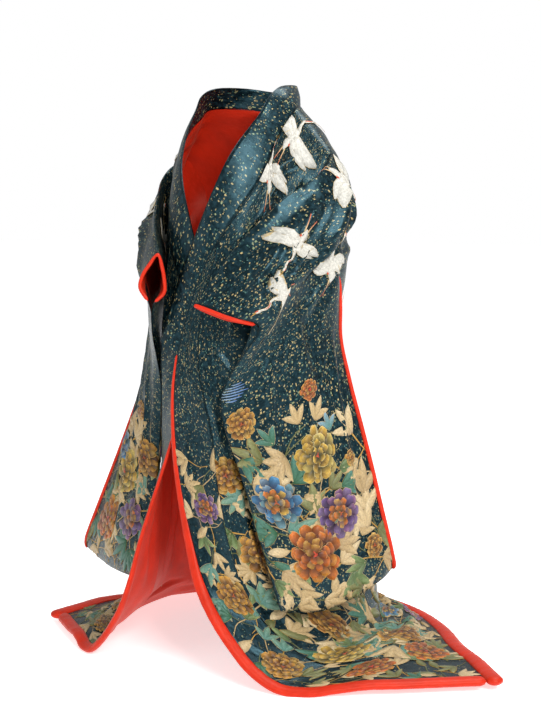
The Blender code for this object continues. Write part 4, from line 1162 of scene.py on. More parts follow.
# Rings of a peony, rim first: petals, their start and reach, and half width.  A small
# bloom has no rim.
PETAL_RINGS = [(11, 0.50, 1.00, 0.225), (9, 0.34, 0.78, 0.21), (7, 0.18, 0.56, 0.19), (5, 0.04, 0.34, 0.15)]
SMALL_BLOOM = 0.034


def petal_ring(strokes, s, v, angle, size, count, inner, outer, wide, tones, edge, layer, rng):
    """A ring of short rounded petals, each a little unlike the next, and each dark toward its base: partly
    shaded thread, partly painted shade under the ring above.
    """
    for k in range(count):
        turn = angle + 2 * math.pi * (k + rng.uniform(-0.20, 0.20)) / count
        reach = outer * rng.uniform(0.90, 1.08)
        frame = strokes.at(s, v, turn, size)
        bend = rng.uniform(-0.07, 0.07)
        base, tip = rng.choice(tones)
        shade = rng.uniform(0.75, 1.15)
        spine = [(inner, 0), ((inner + reach) / 2, bend), (reach, bend * 0.4)]
        # painted shade: a petal's base is a fifth as bright as its tip, partly the shaded thread and partly
        # shade where it tucks under the ring above
        strokes.outlined(frame, [(spine, [wide * part for part in (0.35, 0.85, 1, 0.96, 0.55)],
                                  tuple(c * shade * 0.22 for c in base), tuple(c * shade for c in tip))],
                         layer + 0.5 * (k % 2), edge, 0.0009)


def peony(strokes, s, v, size, angle, tones, rng):
    """A full ruffled peony: rings of petals from the rim to a small tufted heart."""
    outer, inner, heart, edge = tones
    # petals turn late from base to tip, so the painted shade at their bases reaches far along them
    strokes.deepen = DEEP_PETALS
    for k, (count, start, reach, wide) in enumerate(PETAL_RINGS[0 if size > SMALL_BLOOM else 1:]):
        petal_ring(strokes, s, v, angle + 0.4 * k, size, count, start, reach, wide,
                   outer if k < 2 else inner, edge, 6 + 1.5 * k, rng)
    strokes.deepen = EVEN
    frame = strokes.at(s, v, angle, size)
    for k in range(3):
        turn = 2 * math.pi * k / 3
        tuft = [(0.0, 0.0), (0.13 * math.cos(turn), 0.13 * math.sin(turn))]
        strokes.stroke(frame, tuft, [0.03, 0.05, 0.04], heart, heart, 12.5)


def leaf(strokes, s, v, size, angle, base, tip, edge, lobes=3, layer=0):
    """A pointed leaf of one, three or five lobes, with its veins."""
    frame = strokes.at(s, v, angle, size)
    leans = {1: (0.0,), 3: (-0.72, 0.72, 0.0), 5: (-1.15, 1.15, -0.55, 0.55, 0.0)}[lobes]
    parts = []
    for lean in leans:
        reach = 1.0 if lean == 0 else 0.94 - 0.16 * abs(lean)
        end = (reach * math.cos(lean), reach * math.sin(lean))
        mid = (end[0] * 0.56 + 0.05 * math.sin(abs(lean)), end[1] * 0.47)
        wide = 0.148 if lobes > 1 else 0.20
        parts.append(([(0, 0), mid, end], [0.03, wide * 0.80, wide, wide * 0.66, 0.003], base, tip))
    strokes.outlined(frame, parts, layer, edge)
    for spine, _, _, _ in parts[-1:] if lobes < 5 else parts[-3:]:
        far = (spine[2][0] * 0.84, spine[2][1] * 0.84)
        strokes.stroke(frame, [(0.05, 0), spine[1], far], [0.016, 0.012, 0.006], edge, edge, layer + 2)


def stem(strokes, s, v, size, angle, bend, tone):
    """A short bent stalk."""
    frame = strokes.at(s, v, angle, size)
    strokes.stroke(frame, [(0, 0), (0.5, bend), (1, bend * 0.3)], [0.020, 0.014, 0.010], tone, tone, 0)


# A crane that flies toward +x: lines, half widths and tone of its parts, then of its marks
CRANE = [
    ([(-0.16, -0.01), (0.03, 0.02), (0.24, 0.01)], [0.04, 0.12, 0.13, 0.10, 0.03], WHITE),
    ([(0.06, 0.02), (-0.02, 0.30), (-0.18, 0.70)], [0.10, 0.15, 0.165, 0.13, 0.02], PALE),
    ([(0.10, 0.03), (0.14, 0.34), (0.02, 0.62)], [0.06, 0.10, 0.10, 0.07, 0.02], PALE),
    ([(0.03, -0.02), (0.06, -0.30), (0.24, -0.58)], [0.10, 0.15, 0.155, 0.11, 0.02], PALE),
    ([(-0.06, -0.02), (-0.10, -0.26), (-0.02, -0.50)], [0.06, 0.10, 0.10, 0.07, 0.02], PALE),
    ([(-0.10, 0.0), (-0.24, 0.03), (-0.36, 0.0)], [0.05, 0.075, 0.07, 0.05, 0.015], PALE),
    ([(0.20, 0.01), (0.38, 0.09), (0.55, 0.02), (0.72, 0.07)], [0.050, 0.028, 0.021, 0.019, 0.021], WHITE),
    ([(0.70, 0.06), (0.80, 0.06)], [0.022, 0.034, 0.020], WHITE),
]
CRANE_MARKS = [
    ([(0.44, 0.075), (0.55, 0.03), (0.64, 0.045)], [0.006, 0.010, 0.005], CORAL),
    ([(0.80, 0.058), (0.94, 0.03)], [0.013, 0.009, 0.003], GOLD),
    ([(0.73, 0.082), (0.80, 0.078)], [0.010, 0.017, 0.008], CORAL),
    ([(-0.13, -0.05), (-0.19, -0.06)], [0.010, 0.022, 0.010], CORAL),
]


def crane(strokes, s, v, size, angle, flip, lift=9):
    """A crane in flight, in plain white with a thin outline, its neck and legs long and fine."""
    frame = strokes.at(s, v, angle, size)

    def turned(pairs):
        return [(x, y * flip) for x, y in pairs]

    strokes.outlined(frame, [(turned(line), widths, WHITE, tip) for line, widths, tip in CRANE], lift, CREAM)
    top = lift + 2.4
    for line, widths, tone in CRANE_MARKS:
        strokes.stroke(frame, turned(line), widths, tone, tone, top)
    for lean in (-0.035, 0.035):
        leg = turned([(-0.30, lean), (-0.50, lean * 1.6), (-0.70, lean * 2.6)])
        strokes.stroke(frame, leg, [0.013, 0.010, 0.006], CREAM, CORAL, lift + 1)
    for k in range(3):
        y = 0.16 + 0.15 * k
        quill = turned([(0.06 - y * 0.2, y), (-0.14 - y * 0.14, y + 0.05)])
        strokes.stroke(frame, quill, [0.004, 0.007, 0.003], CREAM, CREAM, top)


def cloud(strokes, s, v, size, angle, tones):
    """A drifting cloud of level threads."""
    frame = strokes.at(s, v, angle, size)
    for k in range(7):
        y = (k - 3) * 0.085
        half = 0.5 - 0.10 * abs(k - 3) + (0.06 if k % 2 else 0.0)
        strokes.stroke(frame, [(-half, y), (0, y + 0.02), (half, y)], [0.010, 0.024, 0.020, 0.008], *tones, 1)


# ---------------------------------------------------------------- finishes
class Nodes:
    """A material's nodes, made and joined by short names."""

    def __init__(self, name):
        self.mat = bpy.data.materials.new(name)
        self.mat.use_nodes = True
        self.tree = self.mat.node_tree
        self.shader = self.tree.nodes["Principled BSDF"]

    def put(self, value, socket):
        """Join a socket to another one, or set its value."""
        if isinstance(value, bpy.types.NodeSocket):
            self.tree.links.new(value, socket)
        else:
            socket.default_value = value

    def add(self, kind, settings=None, **inputs):
        """A new node; an input is called by its name, or by i and its number."""
        node = self.tree.nodes.new(kind)
        for key, value in (settings or {}).items():
            setattr(node, key, value)
        for key, value in inputs.items():
            self.put(value, node.inputs[int(key[1:])] if key[0] == "i" else node.inputs[key])
        return node

    def math(self, operation, a, b=0.0, c=0.0):
        """The result of one sum."""
        return self.add("ShaderNodeMath", {"operation": operation}, i0=a, i1=b, i2=c).outputs[0]

    def mix(self, share, one, two, blend="MIX"):
        """One colour laid over another."""
        one, two = ((*tone, 1.0) if isinstance(tone, tuple) else tone for tone in (one, two))
        return self.add("ShaderNodeMix", {"data_type": "RGBA", "blend_type": blend},
                        i0=share, i6=one, i7=two).outputs[2]

    def noise(self, where, scale, detail, rough=0.5):
        """A cloudy grey."""
        return self.add("ShaderNodeTexNoise", Vector=where, Scale=scale, Detail=detail,
                        Roughness=rough).outputs[0]

    def ramp(self, source, low, dark, high, light):
        """A grey that runs from dark to light between two levels of a source."""
        node = self.add("ShaderNodeValToRGB", i0=source)
        for element, place, grey in zip(node.color_ramp.elements, (low, high), (dark, light)):
            element.position, element.color = place, (grey, grey, grey, 1.0)
        return node.outputs[0]

    def relief(self, *layers):
        """Bumps laid over each other: (height, strength, distance) of each."""
        normal = None
        for height, strength, distance in layers:
            node = self.add("ShaderNodeBump", Strength=strength, Distance=distance, Height=height)
            if normal is not None:
                self.put(normal, node.inputs["Normal"])
            normal = node.outputs[0]
        self.set(Normal=normal)

    def set(self, **values):
        """Set or join inputs of the shader."""
        for key, value in values.items():
            self.put(value, self.shader.inputs[key.replace("_", " ")])


def satin_finish(name):
    """Dark figured satin with small woven flecks of gold and pale green, and a painted sheen: fine mottling
    toward a lighter teal.
    """
    n, colour = Nodes(name), tuple(bpy.context.scene.uchikake.satin_colour)
    cut = n.add("ShaderNodeUVMap", {"uv_map": "cut"}).outputs[0]
    seam, dense = (n.add("ShaderNodeAttribute", {"attribute_name": layer}).outputs["Fac"]
                   for layer in ("seam", "flecks"))
    broad, fine = n.noise(cut, 7.0, 3.0, 0.6), n.noise(cut, 85.0, 4.0, 0.65)
    dark = tuple(c * 0.42 for c in colour)
    light = tuple(min(c * 3.4 + 0.004, 1) for c in colour)
    ground = n.mix(n.ramp(broad, 0.35, 0, 0.68, 1), dark, colour)
    # painted sheen: the fine noise lifts the ground toward a lighter teal, the satin's shimmer painted into
    # its colour
    ground = n.mix(n.ramp(fine, 0.46, 0, 0.66, 0.75), ground, light)
    warp = n.add("ShaderNodeTexNoise", Vector=cut, Scale=160.0, Detail=2.0).outputs["Color"]
    bent = n.add("ShaderNodeMix", {"data_type": "VECTOR"}, i0=0.006, i4=cut, i5=warp).outputs[1]
    crowd = n.math("MULTIPLY", dense, n.math("MULTIPLY_ADD", broad, 0.9, 0.10))
    for scale, reach, tone, other in ((150.0, 0.27, (0.62, 0.47, 0.20), (0.36, 0.40, 0.20)),
                                      (270.0, 0.32, (0.42, 0.34, 0.15), (0.10, 0.20, 0.16))):
        cells = n.add("ShaderNodeTexVoronoi", {"feature": "F1", "distance": "CHEBYCHEV"},
                      Vector=bent, Scale=scale, Randomness=1.0)
        chance, kind, strength = n.add("ShaderNodeSeparateColor", i0=cells.outputs["Color"]).outputs[:3]
        near = n.math("LESS_THAN", cells.outputs["Distance"], reach)
        drawn = n.math("GREATER_THAN", crowd, n.math("MULTIPLY", chance, 2.3))
        tint = n.mix(n.math("GREATER_THAN", kind, 0.62), tone, other)
        share = n.math("MULTIPLY", n.math("MULTIPLY", near, drawn),
                       n.math("MULTIPLY_ADD", strength, 0.5, 0.35))
        ground = n.mix(share, ground, tint)
    # painted shade: the ground colour darkens to a dark line at each seam, the shade of its groove painted
    # in; the same ramp also sinks the groove as a bump
    sewn = n.ramp(seam, 0.10, 0.05, 0.55, 1)
    weft = n.add("ShaderNodeTexWave", {"bands_direction": "DIAGONAL"}, Vector=cut, Scale=330.0,
                 Distortion=0.6)
    soft = n.noise(cut, 22.0, 3.0, 0.55)
    n.relief((soft, 0.50, 0.004), (fine, 0.25, 0.0006), (sewn, 0.85, 0.0016),
             (weft.outputs["Fac"], 0.18, 0.0002))
    n.set(Base_Color=n.mix(1.0, ground, sewn, "MULTIPLY"), Roughness=n.ramp(fine, 0.3, 0.24, 0.7, 0.40),
          Specular_IOR_Level=0.46, Specular_Tint=(0.30, 0.60, 0.72, 1.0), Sheen_Weight=0.01,
          Sheen_Roughness=0.35, Anisotropic=0.35, Sheen_Tint=(0.30, 0.60, 0.80, 1.0))
    return n.mat


def silk_finish(name):
    """Plain vermilion silk, finely ribbed across; the wadded silk is a little smoother."""
    n, colour = Nodes(name), tuple(bpy.context.scene.uchikake.silk_colour)
    rough = 0.42 if name == "wadded_silk" else 0.46
    cut = n.add("ShaderNodeUVMap", {"uv_map": "cut"}).outputs[0]
    cloudy = n.noise(cut, 14.0, 4.0, 0.6)
    slub = n.noise(n.add("ShaderNodeMapping", Vector=cut, Scale=(900.0, 60.0, 1.0)).outputs[0], 1.0, 2.0)
    deep = tuple(c * 0.72 for c in colour)
    light = tuple(min(c * 1.12 + 0.01, 1) for c in colour)
    ground = n.mix(n.ramp(cloudy, 0.3, 0, 0.7, 1), deep, colour)
    rib = n.add("ShaderNodeTexWave", {"bands_direction": "Y"}, Vector=cut, Scale=260.0, Distortion=0.8)
    n.relief((cloudy, 0.30, 0.004), (slub, 0.20, 0.0004), (rib.outputs["Fac"], 0.22, 0.0002))
    n.set(Base_Color=n.mix(n.ramp(slub, 0.45, 0, 0.75, 0.5), ground, light),
          Roughness=n.ramp(slub, 0.3, rough - 0.06, 0.7, rough + 0.06),
          Specular_IOR_Level=0.34, Specular_Tint=(1.0, 0.62, 0.50, 1.0), Sheen_Weight=0.06,
          Sheen_Roughness=0.4, Sheen_Tint=(1.0, 0.45, 0.30, 1.0))
    return n.mat


def thread_finish(name):
    """Flat silk and gold floss laid in close parallel threads."""
    n = Nodes(name)
    threads = n.add("ShaderNodeUVMap", {"uv_map": "threads"}).outputs[0]
    tint = n.add("ShaderNodeAttribute", {"attribute_name": "tint"}).outputs["Color"]
    lay = n.add("ShaderNodeMapping", Vector=threads, Scale=(1500.0, 130.0, 1.0)).outputs[0]
    strand, patch = n.noise(lay, 1.0, 2.0, 0.6), n.noise(threads, 170.0, 3.0)
    shade = n.mix(1.0, tint, n.ramp(strand, 0.25, 0.50, 0.75, 1), "MULTIPLY")
    n.relief((strand, 0.45, 0.0003))
    n.set(Base_Color=n.mix(1.0, shade, n.ramp(patch, 0.35, 0.70, 0.65, 1), "MULTIPLY"),
          Roughness=n.ramp(patch, 0.3, 0.37, 0.7, 0.50), Specular_IOR_Level=0.36,
          Sheen_Weight=0.05, Sheen_Roughness=0.4)
    return n.mat


def floor_finish(name):
    """Plain pale floor that lights itself a little."""
    n, colour = Nodes(name), tuple(bpy.context.scene.uchikake.floor_colour)
    faint = n.noise(n.add("ShaderNodeTexCoord").outputs["Object"], 3.0, 3.0)
    n.set(Base_Color=n.mix(faint, tuple(c * 0.985 for c in colour), colour), Roughness=0.85,
          Specular_IOR_Level=0.2, Emission_Color=(1.0, 1.0, 1.0, 1.0), Emission_Strength=0.60)
    return n.mat


# Each finish, and the material slot of the pieces that have it
FINISHES = {"figured_satin": (satin_finish, "teal_satin"), "silk_floss": (thread_finish, "teal_satin"),
            "lining_silk": (silk_finish, "vermilion_silk"), "wadded_silk": (silk_finish, "vermilion_silk"),
            "studio_floor": (floor_finish, "")}


def finish_of(name):
    """A finish is made once and used by every piece of its kind."""
    return bpy.data.materials.get(name) or FINISHES[name][0](name)


# ---------------------------------------------------------------- layout of the figures
# Flowers: tones of the outer and of the inner petals, the heart and the edge.
# Leaves: base, tip and edge.  Cloud: from one tone to the other.
SAND, MOSS, FERN = (0.72, 0.53, 0.27), (0.09, 0.15, 0.05), (0.30, 0.40, 0.15)
TONES = {
    "plum": (((PURPLE, MAUVE), (MAUVE, (0.30, 0.20, 0.42)), (PURPLE, (0.25, 0.14, 0.38))),
             ((BROWN, ORANGE), (GOLD, ORANGE), (MAUVE, GOLD)), RUST, (0.62, 0.42, 0.22)),
    "sunny": (((OLIVE, YELLOW), ((0.40, 0.30, 0.06), (0.80, 0.60, 0.16)), (GOLD, YELLOW)),
              (((0.40, 0.22, 0.03), YELLOW), (OLIVE, YELLOW)), (0.75, 0.10, 0.03), (0.80, 0.66, 0.30)),
    "flame": (((RUST, ORANGE), ((0.40, 0.10, 0.02), (0.78, 0.22, 0.03)), (RUST, (0.88, 0.36, 0.05))),
              ((RUST, ORANGE), (ORANGE, GOLD)), (0.70, 0.06, 0.02), (0.78, 0.42, 0.14)),
    "tawny": (((BROWN, AMBER), ((0.26, 0.09, 0.02), (0.62, 0.27, 0.04)), (BROWN, (0.78, 0.46, 0.10))),
              ((BROWN, AMBER), (RUST, AMBER)), RUST, (0.80, 0.50, 0.17)),
    "azure": (((BLUE, (0.10, 0.34, 0.60)), (BLUE, SKY), ((0.06, 0.26, 0.40), (0.24, 0.46, 0.52))),
              ((GOLD, ORANGE), (BROWN, YELLOW), (SKY, GOLD)), RUST, (0.74, 0.52, 0.24)),
    "beige": (BEIGE, SAND, CREAM), "sand": (SAND, BEIGE, CREAM), "sea": (SEA, SKY, CREAM),
    "green": (GREEN, SEA, CREAM), "blue": (BLUE, SKY),
}
LEAVES = (
    TONES["beige"], TONES["sand"], ((0.52, 0.36, 0.17), SAND, CREAM), (SAND, (0.80, 0.64, 0.38), CREAM),
    (GREEN, SEA, GOLD), (SEA, (0.24, 0.38, 0.24), CREAM), (OLIVE, (0.34, 0.34, 0.14), GOLD),
    (MOSS, FERN, CREAM))
ROOM = {"crane": 0.35, "leaf": 0.30, "peony": 0.70, "cloud": 0.70}     # kept clear, for a size of 1
LEAF_ROOM = 0.42         # kept clear round a scattered leaf, for a spacing of 1
TRIES = 5                # places tried for each leaf that could fit


def figures(text):
    """Figures listed one by one: kind, across (0 to 1), along in metres, size, turn, tones or side."""
    rows = [row.split() for row in text.strip().splitlines()]
    return [(kind, *(float(x) for x in places), TONES.get(last) or int(last))
            for kind, *places, last in rows]


# By piece: the figures, then the patches of leaves that fill in round them, each from
# and to across, from and to along, spacing and size of leaf
PLANS = {
    ("sleeve", "left"): (figures("""
crane 0.54 0.108 0.112 0.3 1
crane 0.32 0.262 0.112 -1.7 -1
crane 0.13 0.055 0.128 1.9 1
crane 0.8 0.222 0.09 -0.4 -1
peony 0.47 0.665 0.066 0.2 sunny
peony 0.62 0.868 0.072 0.9 flame
peony 0.8 0.745 0.058 0.5 azure
peony 0.38 0.795 0.057 1.3 plum
peony 0.46 0.54 0.031 0.1 flame
peony 0.9 0.56 0.036 0.7 tawny
peony 0.19 0.69 0.027 0.3 tawny
peony 0.15 0.905 0.034 0.3 tawny
cloud 0.93 0.466 0.074 -0.22 blue
leaf 0.44 0.6 0.06 -2.0707963 beige
leaf 0.56 0.595 0.055 -1.2707963 beige
leaf 0.33 0.625 0.048 -1.3707963 sea
leaf 0.74 0.62 0.055 -0.9707963 green
leaf 0.78 0.945 0.062 2.0707963 beige
leaf 0.46 0.95 0.062 1.1707963 sand
leaf 0.24 0.865 0.055 -2.4707963 beige
leaf 0.6 0.735 0.052 2.4 beige
crane 0.55 1.88 0.11 2.6 1
crane 0.25 1.76 0.102 0.7 -1
peony 0.4 1.33 0.062 0.2 flame
peony 0.66 1.19 0.066 0.9 tawny
peony 0.25 1.17 0.056 0.5 plum
peony 0.8 1.37 0.05 1.3 sunny"""), [
        (0.04, 0.97, 0.64, 0.985, 0.042, 0.07), (0.04, 0.97, 1.03, 1.38, 0.048, 0.072)]),
    ("sleeve", "right"): (figures("""
crane 0.45 0.1 0.11 0.4 -1
crane 0.2 0.16 0.11 -1.2 1
peony 0.84 0.68 0.05 0.2 tawny
peony 0.74 0.845 0.054 0.9 plum
peony 0.48 0.74 0.06 0.5 sunny
peony 0.3 0.88 0.06 1.3 flame
peony 0.6 0.6 0.03 0.1 tawny
peony 0.18 0.7 0.05 0.7 azure
crane 0.5 1.86 0.11 2.6 1
crane 0.22 1.74 0.102 0.7 -1
peony 0.42 1.3 0.062 0.2 tawny
peony 0.68 1.18 0.064 0.9 flame
peony 0.22 1.16 0.054 0.5 azure
peony 0.8 1.35 0.05 1.3 plum"""), [
        (0.04, 0.97, 0.64, 0.985, 0.044, 0.07), (0.04, 0.97, 1.03, 1.38, 0.048, 0.072)]),
    ("body", "left"): (figures("""
crane 0.68 0.075 0.126 -1.75 1
crane 0.86 0.205 0.112 -1.05 -1
crane 0.45 -0.2 0.128 2.6 1
crane 0.72 -0.42 0.122 -2.3 -1
crane 0.28 -0.56 0.104 1 1
peony 0.88 0.905 0.042 0.2 tawny
peony 0.66 1.09 0.056 0.9 tawny
peony 0.3 0.98 0.05 0.4 flame
peony 0.42 1.33 0.058 0.2 tawny
peony 0.8 1.48 0.06 0.6 sunny
peony 0.32 1.64 0.062 0.2 tawny
peony 0.72 1.77 0.056 0.2 flame
peony 0.62 -1 0.064 0.4 sunny
peony 0.28 -1.14 0.06 0.4 plum
peony 0.72 -1.3 0.068 0.1 flame
peony 0.34 -1.48 0.062 0.1 azure
peony 0.76 -1.62 0.064 0.9 tawny
peony 0.3 -1.76 0.056 0.2 plum
peony 0.5 -0.82 0.032 0.2 flame"""), [
        (0.05, 0.96, 0.92, 1.2, 0.054, 0.068), (0.05, 0.97, 1.2, 1.86, 0.047, 0.074),
        (0.03, 0.97, -1.86, -0.95, 0.054, 0.074)]),
    ("body", "right"): (figures("""
crane 0.62 0.12 0.11 -1.3 -1
crane 0.5 -0.18 0.122 -0.4 1
crane 0.3 -0.44 0.116 -1.9 -1
crane 0.74 -0.62 0.098 2 1
peony 0.7 0.98 0.05 0.2 tawny
peony 0.3 1.12 0.056 0.9 plum
peony 0.66 1.34 0.06 0.4 flame
peony 0.34 1.56 0.058 0.2 sunny
peony 0.74 1.7 0.06 0.6 tawny
peony 0.56 -1.06 0.062 0.4 flame
peony 0.26 -1.22 0.06 0.4 tawny
peony 0.74 -1.4 0.066 0.1 azure
peony 0.34 -1.56 0.062 0.1 sunny
peony 0.76 -1.74 0.058 0.9 plum
peony 0.44 -0.88 0.032 0.2 tawny"""), [
        (0.05, 0.96, 0.94, 1.86, 0.053, 0.072), (0.03, 0.97, -1.86, -0.98, 0.055, 0.072)]),
    ("overlap", "left"): (figures("""
peony 0.6 0.985 0.036 0.2 plum
peony 0.64 1.2 0.05 0.9 tawny
peony 0.42 1.4 0.044 0.4 tawny
peony 0.6 1.62 0.052 0.4 flame"""), [
        (0.1, 0.9, 0.88, 1.87, 0.046, 0.058)]),
    ("overlap", "right"): (figures("""
peony 0.55 1.02 0.036 0.2 tawny
peony 0.45 1.28 0.046 0.9 flame
peony 0.6 1.6 0.048 0.4 tawny"""), [
        (0.1, 0.9, 0.94, 1.87, 0.048, 0.058)]),
}


def strew(strokes, plan, seed, foliage, width):
    """Lay stems and leaves round the listed figures, then the figures."""
    rng = random.Random(seed)
    taken = [(s * width, v, size * ROOM[kind]) for kind, s, v, size, *_ in plan]
    for low_s, high_s, low_v, high_v, spacing, size in foliage:
        reach = spacing * LEAF_ROOM
        for _ in range(int((high_s - low_s) * width * abs(high_v - low_v) / spacing**2 * TRIES)):
            s, v = rng.uniform(low_s, high_s), rng.uniform(low_v, high_v)
            if any((s * width - a) ** 2 + (v - b) ** 2 <= (reach + r) ** 2 for a, b, r in taken):
                continue
            taken.append((s * width, v, reach))
            tones, lobes = rng.choice(LEAVES), rng.choice((1, 3, 3, 3, 5))
            turn = rng.uniform(0, 2 * math.pi)
            stem(strokes, s, v, size * rng.uniform(0.9, 1.5), turn + math.pi + rng.uniform(-0.5, 0.5),
                 rng.uniform(-0.2, 0.2), rng.choice((OLIVE, BEIGE, GOLD)))
            leaf(strokes, s, v, size * rng.uniform(0.75, 1.2), turn, *tones, lobes, rng.choice((0, 1, 2)))
    for kind, s, v, size, turn, tones in plan:
        if kind == "peony":
            peony(strokes, s, v, size, turn, tones, rng)
        elif kind == "leaf":
            leaf(strokes, s, v, size, turn, *tones)
        elif kind == "cloud":
            cloud(strokes, s, v, size, turn, tones)
        else:
            crane(strokes, s, v, size, turn, tones)


# ---------------------------------------------------------------- studio
FLOOR = -0.010           # the train and the padded hem lie on it
FLOOR_SIZE = 60
AMBIENT = 0.48           # light from all round
# Name, place, aim, width and power of each lamp
LAMPS = [
    ("key", (3.5, -1.9, 1.7), (0.0, 0.0, -0.5), 1.5, 165.0),
    ("fill", (-1.4, -3.7, 1.2), (0.1, 0.0, -0.6), 2.4, 24.0),
    ("top", (0.9, 1.3, 2.8), (0.0, 0.0, -0.6), 1.8, 90.0),
]
# The camera: turn round the figure, distance, height, tilt down, and step to its right
TURN, DISTANCE, EYE, PITCH, ASIDE = math.radians(40), 3.6, 1.10, math.radians(6.2), 0.06
FOCAL, VIEW = 1450, 541        # focal length and width of the view, in the same small steps


def aimed(place, look):
    """Matrix of a lamp or camera at a place that looks along a direction."""
    forward = unit(np.array(look, float))
    right = unit(np.cross(forward, (0.0, 0.0, 1.0)))
    matrix = np.eye(4)
    matrix[:3] = np.stack([right, np.cross(right, forward), -forward, place], axis=1)
    return Matrix(matrix.tolist())


def camera():
    """A camera in front, to the wearer's left, that looks slightly down."""
    lens = bpy.data.cameras.new("camera")
    lens.sensor_fit, lens.sensor_width = "HORIZONTAL", 36.0
    lens.lens = FOCAL * lens.sensor_width / VIEW
    obj = bpy.data.objects.new("camera", lens)
    right = np.array([math.cos(TURN), math.sin(TURN), 0.0])
    ahead = np.array([-math.sin(TURN), math.cos(TURN), 0.0])
    place = -ahead * DISTANCE + right * ASIDE + np.array([0.0, 0.0, EYE - HOLD_HEIGHT])
    obj.matrix_world = aimed(place, ahead * math.cos(PITCH) - np.array([0.0, 0.0, math.sin(PITCH)]))
    bpy.context.scene.collection.objects.link(obj)
    return obj


def studio_world():
    """White to the camera, and a softer white light to everything else."""
    world = bpy.data.worlds.new("studio")
    world.use_nodes = True
    nodes, link = world.node_tree.nodes, world.node_tree.links.new
    seen, lit = nodes["Background"], nodes.new("ShaderNodeBackground")
    for sky, strength in ((seen, 1.0), (lit, AMBIENT)):
        sky.inputs["Color"].default_value = (1.0, 1.0, 1.0, 1.0)
        sky.inputs["Strength"].default_value = strength
    either = nodes.new("ShaderNodeMixShader")
    for source, socket in ((nodes.new("ShaderNodeLightPath").outputs["Is Camera Ray"], 0),
                           (lit.outputs[0], 1), (seen.outputs[0], 2)):
        link(source, either.inputs[socket])
    link(either.outputs[0], nodes["World Output"].inputs["Surface"])
    return world


# ---------------------------------------------------------------- settings and operators
class UchikakeSettings(bpy.types.PropertyGroup):
    outer_step: FloatProperty(
        name="Cloth step", description="Spacing of the points of the outer cloth",
        default=0.012, min=0.006, max=0.04, subtype="DISTANCE", unit="LENGTH")
    crease_depth: FloatProperty(
        name="Crease depth", description="Scale of the soft creases laid in the cloth",
        default=1.6, min=0.0, max=2.5, subtype="FACTOR")
    roll_step: FloatProperty(
        name="Roll step", description="Spacing of the rings of a padded roll",
        default=0.006, min=0.003, max=0.03, subtype="DISTANCE", unit="LENGTH")
    satin_colour: FloatVectorProperty(
        name="Satin", description="Ground colour of the outer cloth",
        default=(0.0022, 0.0088, 0.0120), min=0, max=1, size=3, subtype="COLOR")
    silk_colour: FloatVectorProperty(
        name="Silk", description="Colour of the lining and the padded rolls",
        default=(0.60, 0.022, 0.005), min=0, max=1, size=3, subtype="COLOR")
    floor_colour: FloatVectorProperty(
        name="Floor", description="Colour of the studio floor",
        default=(0.92, 0.92, 0.92), min=0, max=1, size=3, subtype="COLOR")
    figure_seed: IntProperty(
        name="Figure seed", description="Seed of the scattered leaves", default=11, min=0)


class UCHIKAKE_OT_grids(bpy.types.Operator):
    """Work out the finer grid of every cloth"""
    bl_idname = "uchikake.grids"
    bl_label = "Lay out cloth"

    def execute(self, context):
        step = context.scene.uchikake.outer_step
        lay_out()
        for half in HALVES:
            fine_body(half, step)
            fine_overlap(half, step)
            fine_sleeve(half, step)
        fine_collar(step)
        return {"FINISHED"}


class UCHIKAKE_OT_satin(bpy.types.Operator):
    """Make the satin body, overlaps, sleeves and collar"""
    bl_idname = "uchikake.satin"
    bl_label = "Satin cloth"

    def execute(self, context):
        for half in HALVES:
            for kind in ("body", "overlap", "sleeve"):
                cloth_piece(f"{kind}_{half}", (kind, half), 0.0, CLOTH, "figured_satin")
        cloth_piece("collar", ("collar", ""), 0.0, COLLAR_WALL, "figured_satin")
        return {"FINISHED"}


class UCHIKAKE_OT_lining(bpy.types.Operator):
    """Make the red lining behind each cloth"""
    bl_idname = "uchikake.lining"
    bl_label = "Red lining"

    def execute(self, context):
        for half in HALVES:
            for kind in ("body", "overlap", "sleeve"):
                cloth_piece(f"{kind}_lining_{half}", (kind, half), CLOTH + GAP, LINING, "lining_silk",
                            lined(half) if kind == "sleeve" else None)
        return {"FINISHED"}


class UCHIKAKE_OT_padding(bpy.types.Operator):
    """Make the padded hem, the padded front edges and the small rolls of the sleeves"""
    bl_idname = "uchikake.padding"
    bl_label = "Padded rolls"

    def execute(self, context):
        padded_roll("padded_hem", "fuki_hem", hem_roll(), 0.045)
        for half in HALVES:
            padded_roll("padded_front_" + half, "fuki_" + half, front_roll(half), 0.05)
            padded_roll("cuff_piping_" + half, "cuff_roll_" + half, cuff_roll(half), 0.03)
            padded_roll("edge_piping_" + half, "furi_roll_" + half, furi_roll(half), 0.03,
                        PLUMP_EDGE)
        return {"FINISHED"}


class UCHIKAKE_OT_figures(bpy.types.Operator):
    """Lay the embroidered flowers, leaves, clouds and cranes on every outer cloth"""
    bl_idname = "uchikake.figures"
    bl_label = "Embroidery"

    def execute(self, context):
        for key, (plan, foliage) in PLANS.items():
            strokes = Strokes(key)
            seed = context.scene.uchikake.figure_seed + len(plan)
            strew(strokes, plan, seed, foliage, FINE[key]["width"])
            strokes.make("figures_" + "_".join(key))
        return {"FINISHED"}


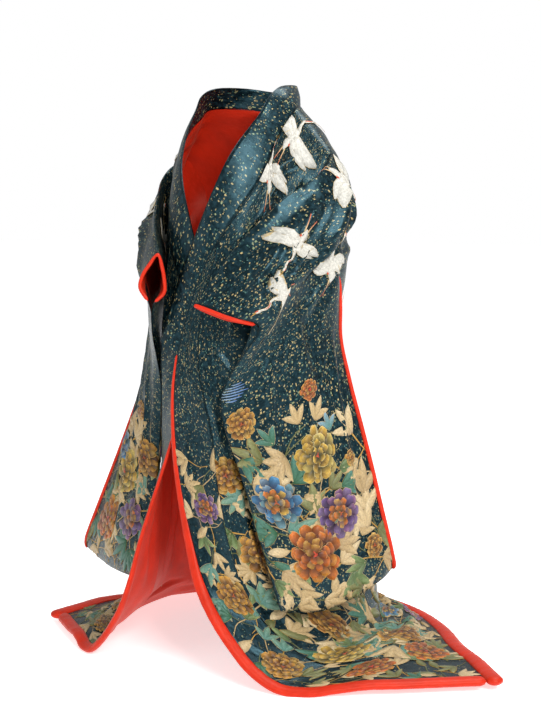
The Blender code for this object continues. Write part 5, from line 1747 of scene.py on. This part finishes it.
class UCHIKAKE_OT_stage(bpy.types.Operator):
    """Set the plain floor, the soft studio light and the camera"""
    bl_idname = "uchikake.stage"
    bl_label = "Studio"

    def execute(self, context):
        scene = context.scene
        bm, _ = tagged_grid(9, 9)
        mesh = bpy.data.meshes.new("floor")
        for v in bm.verts:
            v.co = (v.co.x * FLOOR_SIZE, v.co.y * FLOOR_SIZE, FLOOR - HOLD_HEIGHT)
        bm.to_mesh(mesh)
        bm.free()
        mesh.materials.append(finish_of("studio_floor"))
        floor = bpy.data.objects.new("floor", mesh)
        scene.collection.objects.link(floor)
        scene.world = studio_world()
        for name, place, aim, width, power in LAMPS:
            lamp = bpy.data.lights.new(name, "AREA")
            lamp.shape, lamp.size, lamp.energy = "SQUARE", width, power
            obj = bpy.data.objects.new(name, lamp)
            obj.matrix_world = aimed(place, np.array(aim) - np.array(place))
            scene.collection.objects.link(obj)
        scene.camera = camera()
        scene.view_settings.view_transform = "Standard"
        return {"FINISHED"}


OPERATORS = (UCHIKAKE_OT_grids, UCHIKAKE_OT_satin, UCHIKAKE_OT_lining, UCHIKAKE_OT_padding,
             UCHIKAKE_OT_figures, UCHIKAKE_OT_stage)


class UCHIKAKE_PT_panel(bpy.types.Panel):
    """Sizes, colours and steps of the kimono"""
    bl_idname = "UCHIKAKE_PT_panel"
    bl_label = "Uchikake"
    bl_space_type = "VIEW_3D"
    bl_region_type = "UI"
    bl_category = "Uchikake"

    def draw(self, context):
        column = self.layout.column()
        for name in UchikakeSettings.__annotations__:
            column.prop(context.scene.uchikake, name)
        for operator in OPERATORS:
            column.operator(operator.bl_idname)


CLASSES = (UchikakeSettings, *OPERATORS, UCHIKAKE_PT_panel)


def register():
    """Make the settings, the operators and the panel known to Blender."""
    for item in CLASSES:
        bpy.utils.register_class(item)
    bpy.types.Scene.uchikake = PointerProperty(type=UchikakeSettings)


def unregister():
    """Take them away again."""
    del bpy.types.Scene.uchikake
    for item in reversed(CLASSES):
        bpy.utils.unregister_class(item)


def main():
    """Build every group through its operator."""
    register()
    for operator in OPERATORS:
        group, name = operator.bl_idname.split(".")
        getattr(getattr(bpy.ops, group), name)()


if __name__ == "__main__":
    main()
